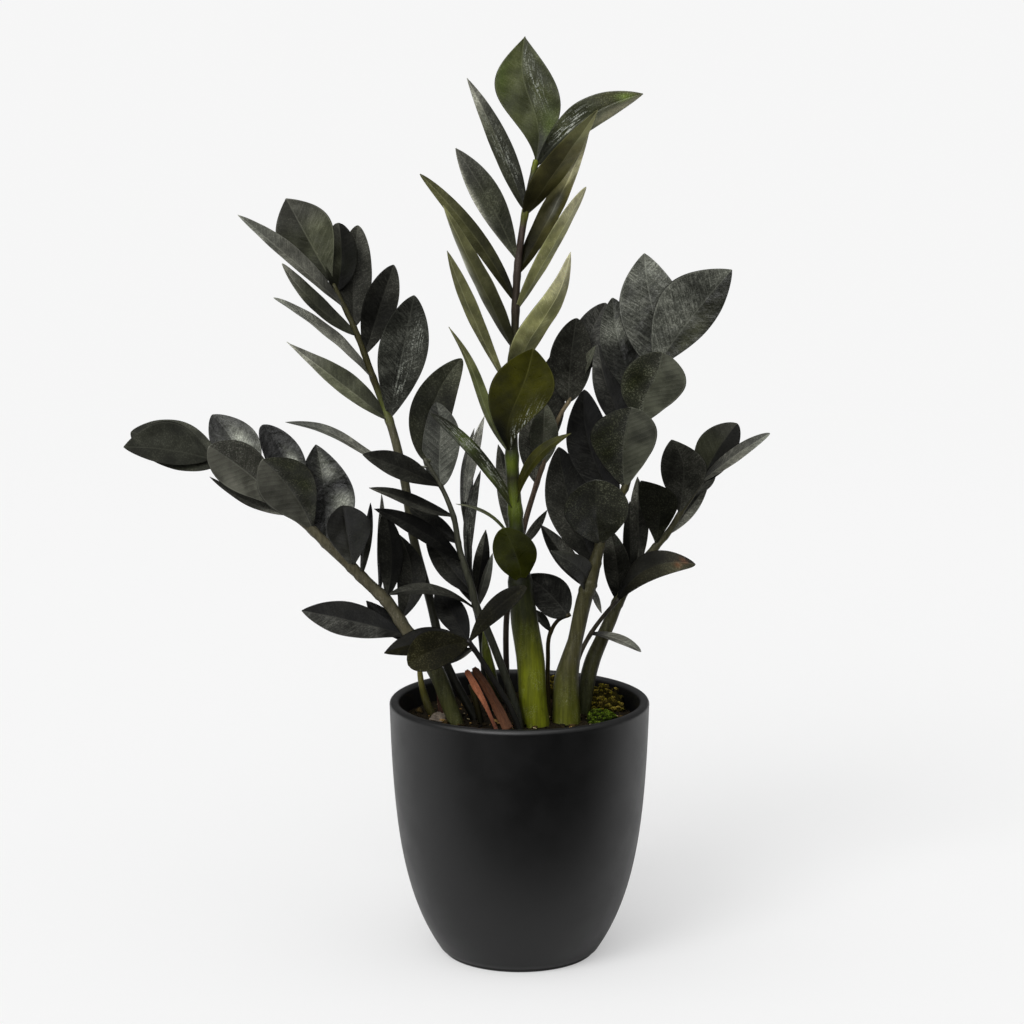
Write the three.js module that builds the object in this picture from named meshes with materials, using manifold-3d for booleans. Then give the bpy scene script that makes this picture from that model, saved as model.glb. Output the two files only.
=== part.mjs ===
// A potted zz plant, in millimetres, +Z up.
// The origin is the middle of the pot's flat base, and the plant's front faces -Y.
import * as THREE from "three";
import { mergeVertices } from "three/addons/utils/BufferGeometryUtils.js";
import Module from "manifold-3d";

const wasm = await Module();
wasm.setup();

// Driving dimensions.
const POT_HEIGHT = 210.5;
const POT_RIM_RADIUS = 105;
const POT_FOOT_RADIUS = 62;
const POT_SWELL = 62; // height over which the wall swings out from the foot
const POT_WALL = 8;
const POT_FLOOR = 10;
const RIM_ROUND = 3.6;
const FOOT_ROUND = 2.5;
const MIX_TOP = 192; // top of the potting mix, 18.5 under the rim
const GAP = 0.35; // between pieces that touch
const FOOT_DEPTH = 32; // how deep a petiole stands in the mix
const BLADE_THICK = 0.9;
const STALK_HALF_WIDTH = 1.3; // half the width of a leaflet where it leaves its stem
const TIP_HALF_WIDTH = 0.5;
const POT_SIDES = 40;
const INNER_HEIGHTS = [POT_FLOOR, 34, 62, 98, 142, MIX_TOP]; // where the pot's inner wall bends
const OUTER_HEIGHTS = [13, 28, 46, 70, 102, 146]; // where its outer wall bends
const THICK_STEM = 4; // footRadius from which a stem has eight sides; thinner ones have six
const STRIP_RIDGE = 0.9; // how far a strip's middle line stands proud of its edges
const FLAKE_CURL = 2.4; // how far the flake's left edge is rolled up
const SCRAP_HEIGHT = 23;
const SCRAP_HALF_WIDTH = 3.4;
const MOSS_SIDES = 20;
const MOSS_KNOBS = 0.07; // how uneven a cushion is, as a share of its size
const MOSS_RISE = 1; // height of a cushion's edge

// Places on the plant are given as [across, up, behind]: across and up as they look, from a point
// in front of the pot, on the upright plane through the pot's axis, and behind that plane.
const EYE = new THREE.Vector3(-6, -2200, 757);

function seen([across, up, behind]) {
  const spread = (behind - EYE.y) / -EYE.y;
  return new THREE.Vector3(
    EYE.x + (across - EYE.x) * spread,
    behind,
    EYE.z + (up - EYE.z) * spread,
  );
}

// Closed solids.

function solidFrom(geometry) {
  const bare = geometry.index ? geometry.toNonIndexed() : geometry.clone();
  bare.deleteAttribute("normal");
  bare.deleteAttribute("uv");
  const merged = mergeVertices(bare, 1e-4);
  return new wasm.Manifold(
    new wasm.Mesh({
      numProp: 3,
      vertProperties: merged.attributes.position.array,
      triVerts: new Uint32Array(merged.index.array),
    }),
  );
}

function geometryFrom(solid) {
  const mesh = solid.getMesh();
  const geometry = new THREE.BufferGeometry();
  geometry.setAttribute("position", new THREE.BufferAttribute(mesh.vertProperties, 3));
  geometry.setIndex(new THREE.BufferAttribute(mesh.triVerts, 1));
  geometry.computeVertexNormals();
  return geometry;
}

function geometryOf(points, faces) {
  const geometry = new THREE.BufferGeometry().setFromPoints(points);
  geometry.setIndex(faces);
  return geometry;
}

// A tube of any taper: one ring of points for each {centre, along, radius}.
function tube(rings, sides) {
  const points = [];
  const faces = [];
  const back = new THREE.Vector3(0, 1, 0);
  for (const { centre, along, radius } of rings) {
    const v = back.clone().addScaledVector(along, -back.dot(along)).normalize();
    const u = v.clone().cross(along);
    for (let k = 0; k < sides; k++) {
      const angle = (2 * Math.PI * k) / sides;
      points.push(
        centre
          .clone()
          .addScaledVector(u, radius * Math.cos(angle))
          .addScaledVector(v, radius * Math.sin(angle)),
      );
    }
  }
  for (let r = 0; r + 1 < rings.length; r++)
    for (let k = 0; k < sides; k++) {
      const a = r * sides + k;
      const b = r * sides + ((k + 1) % sides);
      faces.push(a, b, b + sides, a, b + sides, a + sides);
    }
  const last = (rings.length - 1) * sides;
  for (let k = 1; k + 1 < sides; k++) {
    faces.push(0, k + 1, k);
    faces.push(last, last + k, last + k + 1);
  }
  return geometryOf(points, faces);
}

// A thin plate over a grid of points, thickened along one direction. Both faces are split alike.
function plate(rows, face, thickness) {
  const columns = rows[0].length;
  const count = rows.length * columns;
  const half = face.clone().multiplyScalar(thickness / 2);
  const middle = rows.flat();
  const points = [
    ...middle.map((p) => p.clone().add(half)),
    ...middle.map((p) => p.clone().sub(half)),
  ];
  const faces = [];
  for (let r = 0; r + 1 < rows.length; r++)
    for (let c = 0; c + 1 < columns; c++) {
      const a = r * columns + c;
      const [b, d] = [a + 1, a + columns];
      const e = d + 1;
      faces.push(a, b, e, a, e, d);
      faces.push(a + count, e + count, b + count, a + count, d + count, e + count);
    }
  const rim = [];
  for (let c = 0; c + 1 < columns; c++) rim.push(c);
  for (let r = 0; r + 1 < rows.length; r++) rim.push(r * columns + columns - 1);
  for (let c = columns - 1; c > 0; c--) rim.push((rows.length - 1) * columns + c);
  for (let r = rows.length - 1; r > 0; r--) rim.push(r * columns);
  rim.forEach((a, i) => {
    const b = rim[(i + 1) % rim.length];
    faces.push(a, a + count, b + count, a, b + count, b);
  });
  return geometryOf(points, faces);
}

// Stems: a petiole stands upright in the mix at its foot [x, y] and then follows its points.

function sidesOf(footRadius) {
  return footRadius < THICK_STEM ? 6 : 8;
}

function stemOf({ foot, footRadius, points, radii }) {
  const ground = new THREE.Vector3(foot[0], foot[1], MIX_TOP + 1);
  const curve = new THREE.CatmullRomCurve3([ground, ...points.map(seen)], false, "centripetal");
  const thickness = [footRadius, ...radii];
  const radiusAt = (t) => {
    const place = t * (thickness.length - 1);
    const k = Math.min(Math.floor(place), thickness.length - 2);
    return THREE.MathUtils.lerp(thickness[k], thickness[k + 1], place - k);
  };
  const upright = new THREE.Vector3(0, 0, 1);
  const bottom = new THREE.Vector3(foot[0], foot[1], MIX_TOP - FOOT_DEPTH);
  const rings = [
    { centre: bottom, along: upright, radius: footRadius },
    { centre: ground, along: upright, radius: footRadius },
  ];
  const stations = points.length + Math.ceil(points.length / 4);
  for (let k = 1; k <= stations; k++) {
    const t = k / stations;
    rings.push({ centre: curve.getPoint(t), along: curve.getTangent(t), radius: radiusAt(t) });
  }
  // The point of the stem that looks as high as `up`.
  const at = (up) => {
    let [low, high] = [0, 1];
    for (let k = 0; k < 30; k++) {
      const t = (low + high) / 2;
      const p = curve.getPoint(t);
      const spread = (p.y - EYE.y) / -EYE.y;
      if (EYE.z + (p.z - EYE.z) / spread < up) low = t;
      else high = t;
    }
    return curve.getPoint(low);
  };
  return { geometry: tube(rings, sidesOf(footRadius)), at };
}

// Leaflets: `from` is the height at which one leaves its stem, `tip` its point and `wide` its
// greatest width. `turn` turns the upper face clockwise from the viewer about the midrib. As shares
// of the length, `bow` arches the midrib towards the viewer, `sway` to its clockwise side, and
// `wave` first to that side and then back. `lean` widens the half on that side and narrows the
// other, `fold` lifts both halves from the midrib, `widest` is where the blade is broadest and
// `blunt` below 1 rounds its outline.

const LEAFLET = {
  turn: 0,
  bow: 0,
  sway: 0,
  wave: 0,
  lean: 0,
  fold: 10,
  widest: 0.5,
  blunt: 0.8,
};

// Larger blades get more stations along the midrib.
const STATIONS = [
  { over: 2000, stations: [0, 0.08, 0.22, 0.4, 0.6, 0.8, 0.94, 1] },
  { over: 700, stations: [0, 0.1, 0.3, 0.55, 0.8, 1] },
  { over: 0, stations: [0, 0.14, 0.45, 0.78, 1] },
];

function halfWidth(s, { wide, widest, blunt }) {
  const swell = Math.pow(s, Math.log(0.5) / Math.log(widest));
  const blade = (wide / 2) * Math.pow(Math.max(Math.sin(Math.PI * swell), 0), blunt);
  return Math.max(blade, s < 0.5 ? STALK_HALF_WIDTH : TIP_HALF_WIDTH);
}

function leaflet(stem, given) {
  const leaf = { ...LEAFLET, ...given };
  const root = stem.at(leaf.from);
  const tip = seen(leaf.tip);
  const along = tip.clone().sub(root);
  const length = along.length();
  along.normalize();
  const toEye = EYE.clone().sub(root.clone().lerp(tip, 0.5));
  toEye.addScaledVector(along, -toEye.dot(along)).normalize();
  const right = along.clone().cross(toEye);
  const turn = THREE.MathUtils.degToRad(leaf.turn);
  const face = toEye
    .clone()
    .multiplyScalar(Math.cos(turn))
    .addScaledVector(right, Math.sin(turn));
  const side = along.clone().cross(face);
  const fold = THREE.MathUtils.degToRad(leaf.fold);
  const { stations } = STATIONS.find(({ over }) => length * leaf.wide > over);
  const rows = stations.map((s) => {
    const arch = 4 * s * (1 - s) * length;
    const midrib = root
      .clone()
      .addScaledVector(along, s * length)
      .addScaledVector(toEye, leaf.bow * arch)
      .addScaledVector(right, leaf.sway * arch + leaf.wave * Math.sin(2 * Math.PI * s) * length);
    return [-1, 0, 1].map((q) => {
      const reach = q * halfWidth(s, leaf) * (1 + q * leaf.lean);
      return midrib
        .clone()
        .addScaledVector(side, reach * Math.cos(fold))
        .addScaledVector(face, Math.abs(reach) * Math.sin(fold));
    });
  });
  return plate(rows, face, BLADE_THICK);
}

// Fronds and shoots, each one stem with its leaflets.

const FRONDS = {
  crown_frond: {
    colour: 0x3c4218,
    foot: [14, -14],
    footRadius: 10.4,
    points: [
      [11, 209, -14],
      [9, 242, -12],
      [4, 275, -10],
      [-1, 324, -6],
      [-3, 357, -4],
      [-6, 406, -2],
      [-6, 454, 0],
      [-4, 502, 2],
      [-1, 565, 4],
      [7, 616, 6],
      [13, 643, 8],
    ],
    radii: [11.2, 11.3, 11, 8, 5.8, 5.2, 4.2, 3.2, 2.8, 2.6, 2.2],
    leaflets: [
      { from: 640, tip: [4, 738, 14], wide: 49, widest: 0.57, blunt: 1.05, wave: 0.045 },
      { from: 636, tip: [96, 694, -12], wide: 29, turn: -25, sway: -0.09, fold: 22, widest: 0.56 },
      { from: 600, tip: [61, 682, -34], wide: 32, turn: -130, widest: 0.42 },
      { from: 603, tip: [-41, 706, 6], wide: 19, turn: 25, sway: 0.02, fold: 15, widest: 0.44 },
      { from: 563, tip: [-50, 652, -4], wide: 24, turn: 10, fold: 15, sway: 0.03, widest: 0.56 },
      { from: 553, tip: [54, 664, 12], wide: 22, turn: -40, sway: 0.02, fold: 15, widest: 0.42 },
      { from: 524, tip: [52, 622, -16], wide: 22, turn: -125, widest: 0.54, blunt: 0.6 },
      { from: 531, tip: [-78, 632, 18], wide: 15, turn: 20, sway: 0.04, fold: 15, blunt: 0.6 },
      { from: 494, tip: [-60, 608, -18], wide: 21, turn: 135, widest: 0.43 },
      { from: 458, tip: [-57, 572, -10], wide: 17, turn: 135, sway: -0.02, widest: 0.6 },
      { from: 462, tip: [40, 571, -14], wide: 29, turn: -135, widest: 0.42, wave: -0.03 },
      { from: 407, tip: [11, 495, -44], wide: 50, widest: 0.68, bow: 0.04, sway: -0.06, wave: -0.03 },
      { from: 409, tip: [-56, 512, -28], wide: 13, turn: 135, widest: 0.4, wave: -0.02 },
      { from: 364, tip: [-71, 443, -48], wide: 20, turn: 55, sway: 0.04, fold: 15, blunt: 0.6 },
      { from: 362, tip: [41, 427, -28], wide: 15, turn: -50, sway: -0.14, widest: 0.55 },
      { from: 328, tip: [-51, 370, -20], wide: 10, turn: 75, sway: 0.15 },
      { from: 306, tip: [-13, 351, -52], wide: 34, widest: 0.68, bow: 0.1, sway: 0.05, blunt: 0.5 },
    ],
  },
  upper_left_frond: {
    colour: 0x16191a,
    foot: [-36, 6],
    footRadius: 3.6,
    points: [
      [-44, 209, 8],
      [-60, 242, 14],
      [-72, 292, 22],
      [-85, 343, 30],
      [-91, 385, 36],
      [-97, 414, 40],
      [-103, 436, 44],
      [-114, 466, 48],
      [-130, 510, 52],
      [-147, 546, 56],
    ],
    radii: [3.6, 3.6, 3.6, 3.6, 3.6, 3.6, 3.4, 2.8, 2.3, 1.8],
    leaflets: [
      { from: 527, tip: [-221, 600, 20], wide: 23, turn: 50, sway: 0.01, fold: 20 },
      { from: 544, tip: [-183, 613, 50], wide: 47, widest: 0.62, fold: 8, blunt: 0.9 },
      { from: 540, tip: [-142, 594, 66], wide: 27, turn: 10, sway: 0.05, blunt: 0.5 },
      { from: 512, tip: [-127, 592, 80], wide: 30, turn: 15, sway: -0.02, blunt: 0.6 },
      { from: 490, tip: [-99, 561, 50], wide: 28, turn: -10, widest: 0.56, blunt: 0.65 },
      { from: 438, tip: [-83, 537, 24], wide: 40, widest: 0.58, blunt: 0.68 },
      { from: 505, tip: [-187, 562, 24], wide: 19, turn: 45, fold: 15, sway: -0.06, blunt: 0.65 },
      { from: 470, tip: [-194, 535, 34], wide: 25, turn: 70, sway: 0.05, blunt: 0.6 },
      { from: 437, tip: [-184, 500, 22], wide: 25, turn: 40, fold: 20, widest: 0.42, blunt: 1.1 },
    ],
  },
  left_arching_frond: {
    colour: 0x14171a,
    foot: [-51, -10],
    footRadius: 6.2,
    points: [
      [-56, 203, -10],
      [-67, 232, -9],
      [-91, 267, -8],
      [-106, 290, -8],
      [-122, 306, -10],
      [-138, 322, -12],
      [-152, 335, -15],
      [-168, 351, -18],
      [-183, 363, -21],
      [-203, 377, -25],
      [-227, 393, -30],
      [-247, 407, -34],
    ],
    radii: [6.4, 6.8, 4.9, 4.8, 4.6, 4.3, 4, 3.6, 3.2, 2.7, 2.2, 1.7],
    leaflets: [
      { from: 406, tip: [-315, 416, -46], wide: 36, turn: 20, fold: 5, sway: 0.04, lean: 0.3 },
      { from: 402, tip: [-309, 428, -20], wide: 43, turn: 25, fold: 5, sway: 0.03, blunt: 0.65 },
      { from: 384, tip: [-244, 442, 2], wide: 38, sway: 0.07, blunt: 0.7 },
      { from: 360, tip: [-204, 434, 6], wide: 30, sway: 0.1, blunt: 0.55, widest: 0.58 },
      { from: 338, tip: [-162, 418, 6], wide: 48, sway: 0.04, widest: 0.42 },
      { from: 364, tip: [-247, 417, -68], wide: 38, fold: 12, sway: 0.03, widest: 0.68, blunt: 0.55 },
      { from: 361, tip: [-247, 392, -40], wide: 16, turn: 60, sway: -0.07 },
      { from: 348, tip: [-205, 406, -64], wide: 44, widest: 0.64, blunt: 0.67, sway: 0.05 },
      { from: 318, tip: [-141, 369, -60], wide: 36, widest: 0.68, blunt: 0.55, lean: 0.1 },
      { from: 311, tip: [-119, 371, -22], wide: 16, turn: 60 },
      { from: 297, tip: [-110, 378, 8], wide: 18, turn: 65 },
      { from: 291, tip: [-108, 366, -24], wide: 22, turn: -20, sway: 0.06, widest: 0.55 },
      { from: 275, tip: [-96, 345, 10], wide: 24, sway: 0.14, widest: 0.5 },
      { from: 262, tip: [-175, 283, 2], wide: 31, turn: 25, sway: 0.01, widest: 0.58 },
      { from: 256, tip: [-123, 291, 16], wide: 18, turn: 20, sway: -0.04 },
    ],
  },
  inner_left_frond: {
    colour: 0x1b1e1e,
    foot: [0, -26],
    footRadius: 3.2,
    points: [
      [-2, 200, -26],
      [-9, 222, -27],
      [-26, 267, -28],
      [-34, 284, -28],
      [-39, 304, -28],
      [-48, 333, -27],
      [-52, 357, -25],
      [-57, 372, -24],
      [-63, 385, -22],
      [-76, 407, -18],
    ],
    radii: [3.2, 3.2, 3.1, 3, 2.8, 2.4, 2.2, 2, 1.8, 1.5],
    leaflets: [
      { from: 400, tip: [-186, 436, -2], wide: 15, turn: 60, sway: -0.02, widest: 0.65, wave: -0.04 },
      { from: 384, tip: [-125, 410, -36], wide: 26, turn: 40, sway: 0.02, widest: 0.56 },
      { from: 360, tip: [-120, 383, -42], wide: 16, turn: 45, fold: 15, wave: -0.01 },
      { from: 322, tip: [-116, 366, -48], wide: 19, turn: 35, sway: 0.05, widest: 0.52 },
      { from: 338, tip: [-88, 367, -4], wide: 18, turn: 30 },
      { from: 296, tip: [-75, 343, -8], wide: 22, turn: 10 },
      { from: 287, tip: [-56, 327, -4], wide: 16, turn: 30 },
      { from: 283, tip: [-105, 296, -58], wide: 16, turn: 60, sway: 0.12, widest: 0.62, blunt: 0.65 },
      { from: 384, tip: [-66, 452, -16], wide: 31, turn: 170, sway: 0.02, wave: -0.02, blunt: 0.6 },
      { from: 404, tip: [-46, 487, 30], wide: 34, sway: -0.1, widest: 0.42, blunt: 0.6 },
    ],
  },
  upright_frond: {
    colour: 0x1d2020,
    foot: [-24, 18],
    footRadius: 2.4,
    points: [
      [-27, 215, 17],
      [-31, 262, 12],
      [-35, 285, 8],
      [-39, 310, 4],
      [-42, 335, 3],
      [-44, 372, 3],
    ],
    radii: [2.4, 2.4, 2.3, 2, 1.8, 1.4],
    leaflets: [
      { from: 368, tip: [-28, 441, 2], wide: 14, turn: 50, sway: -0.04 },
      { from: 350, tip: [-36, 431, 12], wide: 14, turn: 55, sway: -0.06 },
      { from: 322, tip: [-31, 397, 0], wide: 15, turn: 50, sway: -0.06 },
      { from: 300, tip: [-37, 390, 20], wide: 14, turn: 60, sway: -0.06 },
      { from: 290, tip: [-27, 349, 16], wide: 14, turn: 20 },
      { from: 284, tip: [-21.5, 330, -6], wide: 12, turn: 130 },
    ],
  },
  front_left_shoot: {
    colour: 0x24281c,
    foot: [2, -54],
    footRadius: 2.6,
    points: [
      [-7, 202, -54],
      [-14, 214, -54],
      [-25, 233, -54],
      [-33, 246, -54],
      [-42, 259, -54],
    ],
    radii: [2.6, 2.5, 2.3, 2.1, 1.9],
    leaflets: [
      { from: 257, tip: [-90, 238, -80], wide: 32, turn: 15, sway: 0.07, widest: 0.6, blunt: 0.5 },
      { from: 252, tip: [-64, 237, -58], wide: 16, turn: 60 },
      { from: 256, tip: [-109, 248, -52], wide: 26, turn: 30, sway: 0.07 },
      { from: 257, tip: [6, 303, -54], wide: 18, turn: -20, sway: -0.06, widest: 0.6, blunt: 0.6 },
      { from: 258, tip: [-67, 302, -16], wide: 23, turn: 10 },
    ],
  },
  front_right_frond: {
    colour: 0x191d1a,
    foot: [38, -3],
    footRadius: 11.6,
    points: [
      [38, 226, -4],
      [41, 242, -5],
      [45, 259, -5],
      [52, 292, -6],
      [57, 308, -7],
      [61, 324, -8],
      [66, 341, -8],
      [74, 365, -8],
      [85, 385, -7],
      [90, 410, -5],
      [100, 442, -2],
      [107, 482, 3],
    ],
    radii: [10, 8, 6, 6.4, 5.8, 4.8, 3.8, 3.2, 2.9, 2.7, 2.4, 1.8],
    leaflets: [
      { from: 480, tip: [98, 570, 16], wide: 54, sway: 0.03, widest: 0.46, wave: 0.02 },
      { from: 478, tip: [167, 557, -8], wide: 48, turn: -5, sway: -0.02, lean: -0.3, widest: 0.55 },
      { from: 445, tip: [73, 535, 18], wide: 34, turn: 20, sway: -0.06, widest: 0.6, blunt: 0.7 },
      { from: 420, tip: [62, 498, 22], wide: 24, turn: 15, sway: -0.07, blunt: 0.7 },
      { from: 436, tip: [113, 492, -42], wide: 50, widest: 0.63, blunt: 0.5, sway: -0.03, wave: -0.03 },
      { from: 383, tip: [89, 448, -46], wide: 53, widest: 0.68, blunt: 0.5, sway: -0.05, lean: -0.04 },
      { from: 337, tip: [61, 390, -48], wide: 52, widest: 0.68, blunt: 0.5, bow: 0.08, sway: -0.02 },
      { from: 299, tip: [25, 332, -42], wide: 19, turn: 20, sway: 0.12, widest: 0.4, wave: 0.03 },
      { from: 322, tip: [31, 416, 16], wide: 40, turn: 10, sway: -0.05, blunt: 0.7 },
      { from: 372, tip: [51, 462, 18], wide: 37, turn: 5, sway: -0.09, blunt: 0.68 },
      { from: 301, tip: [17, 353, 10], wide: 18, turn: 20 },
      { from: 305, tip: [66, 281, 8], wide: 8, turn: -50 },
    ],
  },
  low_right_frond: {
    colour: 0x171a1b,
    foot: [52, 25],
    footRadius: 6,
    points: [
      [55, 226, 26],
      [59, 242, 28],
      [66, 259, 30],
      [73, 275, 32],
      [80, 292, 35],
      [97, 320, 40],
      [108, 334, 43],
      [119, 347, 46],
      [130, 365, 50],
      [147, 391, 56],
    ],
    radii: [6.6, 6.4, 5.6, 5.2, 4.6, 3.6, 3.1, 2.7, 2.3, 1.6],
    leaflets: [
      { from: 388, tip: [199, 427, 44], wide: 16, turn: -45, sway: -0.02, blunt: 0.55 },
      { from: 389, tip: [173, 435, 66], wide: 33, blunt: 0.6, sway: -0.05, lean: -0.08 },
      { from: 361, tip: [121, 422, 30], wide: 38, sway: 0.1, widest: 0.62, wave: -0.02 },
      { from: 376, tip: [156, 398, 78], wide: 12, turn: -30, sway: 0.05 },
      { from: 335, tip: [97, 389, 22], wide: 31, widest: 0.64, sway: 0.15, wave: -0.03 },
      { from: 318, tip: [94, 392, 60], wide: 18, turn: 25 },
      { from: 344, tip: [151, 389, 74], wide: 12, sway: 0.03 },
      { from: 290, tip: [72, 350, 26], wide: 22, sway: 0.04 },
      { from: 308, tip: [88, 372, 40], wide: 14, turn: 20 },
    ],
  },
  right_twig: {
    colour: 0x17191a,
    foot: [43, 17],
    footRadius: 2,
    points: [
      [43, 220, 17],
      [48, 245, 17],
      [58, 265, 17],
      [68, 279, 15],
      [80, 293, 13],
    ],
    radii: [2, 2, 1.8, 1.7, 1.6],
    leaflets: [
      { from: 264, tip: [98, 249, 2], wide: 15, turn: -60, sway: -0.07, blunt: 0.55 },
      { from: 291, tip: [141, 321, 4], wide: 26, turn: -30, sway: -0.18, widest: 0.55, blunt: 0.6 },
    ],
  },
  back_centre_frond: {
    colour: 0x17181a,
    foot: [-9, 26],
    footRadius: 2.4,
    points: [
      [-10, 222, 27],
      [-10, 281, 28],
      [-1, 324, 30],
      [4, 353, 31],
      [12, 381, 32],
      [24, 418, 34],
      [31, 439, 36],
      [42, 458, 38],
      [49, 476, 40],
    ],
    radii: [2.4, 2.4, 2.4, 2.4, 2.2, 2, 1.8, 1.6, 1.4],
    leaflets: [
      { from: 452, tip: [45, 519, 34], wide: 35, sway: -0.02, blunt: 0.6 },
      { from: 474, tip: [68, 531, 50], wide: 28, sway: -0.05, blunt: 0.6 },
      { from: 470, tip: [60, 497, 27], wide: 10, turn: -40 },
      { from: 400, tip: [20, 452, 22], wide: 24, turn: 10 },
      { from: 386, tip: [8, 448, 44], wide: 24 },
      { from: 415, tip: [24, 488, 46], wide: 26 },
      { from: 334, tip: [22, 365, 24], wide: 9, turn: 30 },
      { from: 330, tip: [-17, 418, 24], wide: 18, turn: 10 },
    ],
  },
  centre_shoot: {
    colour: 0x1c1b18,
    foot: [25, 14],
    footRadius: 1.8,
    points: [
      [23, 219, 14],
      [23, 242, 14],
      [24, 262, 13],
      [31, 275, 12],
      [41, 280, 11],
    ],
    radii: [1.8, 1.8, 1.7, 1.6, 1.6],
    leaflets: [
      { from: 279, tip: [5, 312, 10], wide: 32, turn: 10, sway: 0.05, widest: 0.43, blunt: 0.7 },
      { from: 266, tip: [11, 284, 12], wide: 12, turn: 50 },
    ],
  },
};

// Short bare shoots.
const SHOOTS = {
  young_shoot: {
    colour: 0x5a5f22,
    foot: [-70, 14],
    footRadius: 3.6,
    points: [
      [-74, 205, 14],
      [-79, 222, 14],
      [-81, 240, 13],
      [-82, 252, 12],
    ],
    radii: [3.6, 2.6, 1.9, 0.7],
  },
  green_spear: {
    colour: 0x56701c,
    foot: [-14, 3],
    footRadius: 3,
    points: [
      [-18, 212, 2],
      [-23, 232, 1],
      [-27, 250, 0],
      [-29, 266, 0],
    ],
    radii: [3.6, 4.4, 3.8, 0.7],
  },
  short_stub: {
    colour: 0x55571f,
    foot: [-31, -8],
    footRadius: 2.6,
    points: [
      [-34, 203, -8],
      [-39, 222, -8],
    ],
    radii: [2.6, 2.3],
  },
};

// Dry sheath strips that lean in the mix: the middle of each from foot to top, and its width.
const STRIPS = {
  dry_strip_1: {
    wide: 7,
    points: [
      [-18, 182.9, -42],
      [-28, 206, -41],
      [-37, 223, -40],
      [-43, 234, -39],
    ],
  },
  dry_strip_2: {
    wide: 9,
    points: [
      [-9, 184.6, -38],
      [-18, 203, -37],
      [-27, 220, -36],
      [-37, 236, -35],
    ],
  },
};

// Loose pieces lying on the mix: middle [x, y], length, width, height and heading in degrees.
const CHIPS = {
  bark_chip_1: { at: [-46, -34], size: [13, 7, 3.2], heading: 20 },
  bark_chip_2: { at: [-26, -62], size: [11, 6, 3], heading: -35 },
  bark_chip_3: { at: [22, 58], size: [14, 8, 3.4], heading: 50 },
};

// Moss cushions: middle [x, y], half-widths and height over the mix.
const MOSS = {
  moss_right: { at: [74, 48], half: [22, 24], high: 17 },
  moss_front: { at: [66, -2], half: [13, 17], high: 9 },
  moss_back: { at: [22, 80], half: [17, 13], high: 19 },
};

// Pot.

function wallRadius(z) {
  const full = 1 - Math.exp(-POT_HEIGHT / POT_SWELL);
  const share = (1 - Math.exp(-z / POT_SWELL)) / full;
  return POT_FOOT_RADIUS + (POT_RIM_RADIUS - POT_FOOT_RADIUS) * share;
}

function arc(cx, cz, radius, from, to, steps) {
  return Array.from({ length: steps + 1 }, (_, k) => {
    const angle = THREE.MathUtils.degToRad(from + ((to - from) * k) / steps);
    return new THREE.Vector2(cx + radius * Math.cos(angle), cz + radius * Math.sin(angle));
  });
}

// three.js turns a profile about Y; the part stands along Z.
function turned(profile, sides = POT_SIDES) {
  return new THREE.LatheGeometry(profile, sides).rotateX(Math.PI / 2);
}

function innerRadius(z) {
  const k = Math.max(INNER_HEIGHTS.findIndex((height) => height >= z), 1);
  const [low, high] = [INNER_HEIGHTS[k - 1], INNER_HEIGHTS[k]];
  return THREE.MathUtils.mapLinear(z, low, high, wallRadius(low), wallRadius(high)) - POT_WALL;
}

function potGeometry() {
  const shoulder = POT_HEIGHT - RIM_ROUND;
  const outside = OUTER_HEIGHTS.map((z) => new THREE.Vector2(wallRadius(z), z));
  const inner = POT_RIM_RADIUS - POT_WALL;
  return turned([
    new THREE.Vector2(0, 0),
    ...arc(POT_FOOT_RADIUS - FOOT_ROUND, FOOT_ROUND, FOOT_ROUND, -90, 0, 2),
    ...outside,
    ...arc(POT_RIM_RADIUS - RIM_ROUND, shoulder, RIM_ROUND, 0, 90, 3),
    ...arc(inner + RIM_ROUND, shoulder, RIM_ROUND, 90, 180, 3),
    ...INNER_HEIGHTS.toReversed().map((z) => new THREE.Vector2(innerRadius(z), z)),
    new THREE.Vector2(0, POT_FLOOR),
  ]);
}

function mixGeometry(stems) {
  const heights = [POT_FLOOR + GAP, ...INNER_HEIGHTS.slice(1)];
  let mix = solidFrom(
    turned([
      new THREE.Vector2(0, heights[0]),
      ...heights.map((z) => new THREE.Vector2(innerRadius(z) - GAP, z)),
      new THREE.Vector2(0, MIX_TOP),
    ]),
  );
  for (const { foot, footRadius } of stems) {
    const sides = sidesOf(footRadius);
    const hole = [MIX_TOP - FOOT_DEPTH - GAP, MIX_TOP + 5].map((z) => ({
      centre: new THREE.Vector3(foot[0], foot[1], z),
      along: new THREE.Vector3(0, 0, 1),
      radius: footRadius + GAP / Math.cos(Math.PI / sides),
    }));
    mix = mix.subtract(solidFrom(tube(hole, sides)));
  }
  return geometryFrom(mix);
}

function frondGeometry(frond) {
  const stem = stemOf(frond);
  const blades = frond.leaflets.map((given) => solidFrom(leaflet(stem, given)));
  return geometryFrom(blades.reduce((whole, b) => whole.add(b), solidFrom(stem.geometry)));
}

function stripGeometry({ wide, points }) {
  const curve = new THREE.CatmullRomCurve3(points.map(seen), false, "centripetal");
  const face = new THREE.Vector3(0, -1, 0);
  const rows = [0, 0.2, 0.4, 0.6, 0.8, 1].map((t) => {
    const centre = curve.getPoint(t);
    const side = curve.getTangent(t).cross(face).normalize();
    const taper = 1 - 0.35 * t;
    return [-1, 0, 1].map((q) =>
      centre
        .clone()
        .addScaledVector(side, (q * wide * taper) / 2)
        .addScaledVector(face, q === 0 ? STRIP_RIDGE : 0),
    );
  });
  return plate(rows, face, BLADE_THICK);
}

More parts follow.
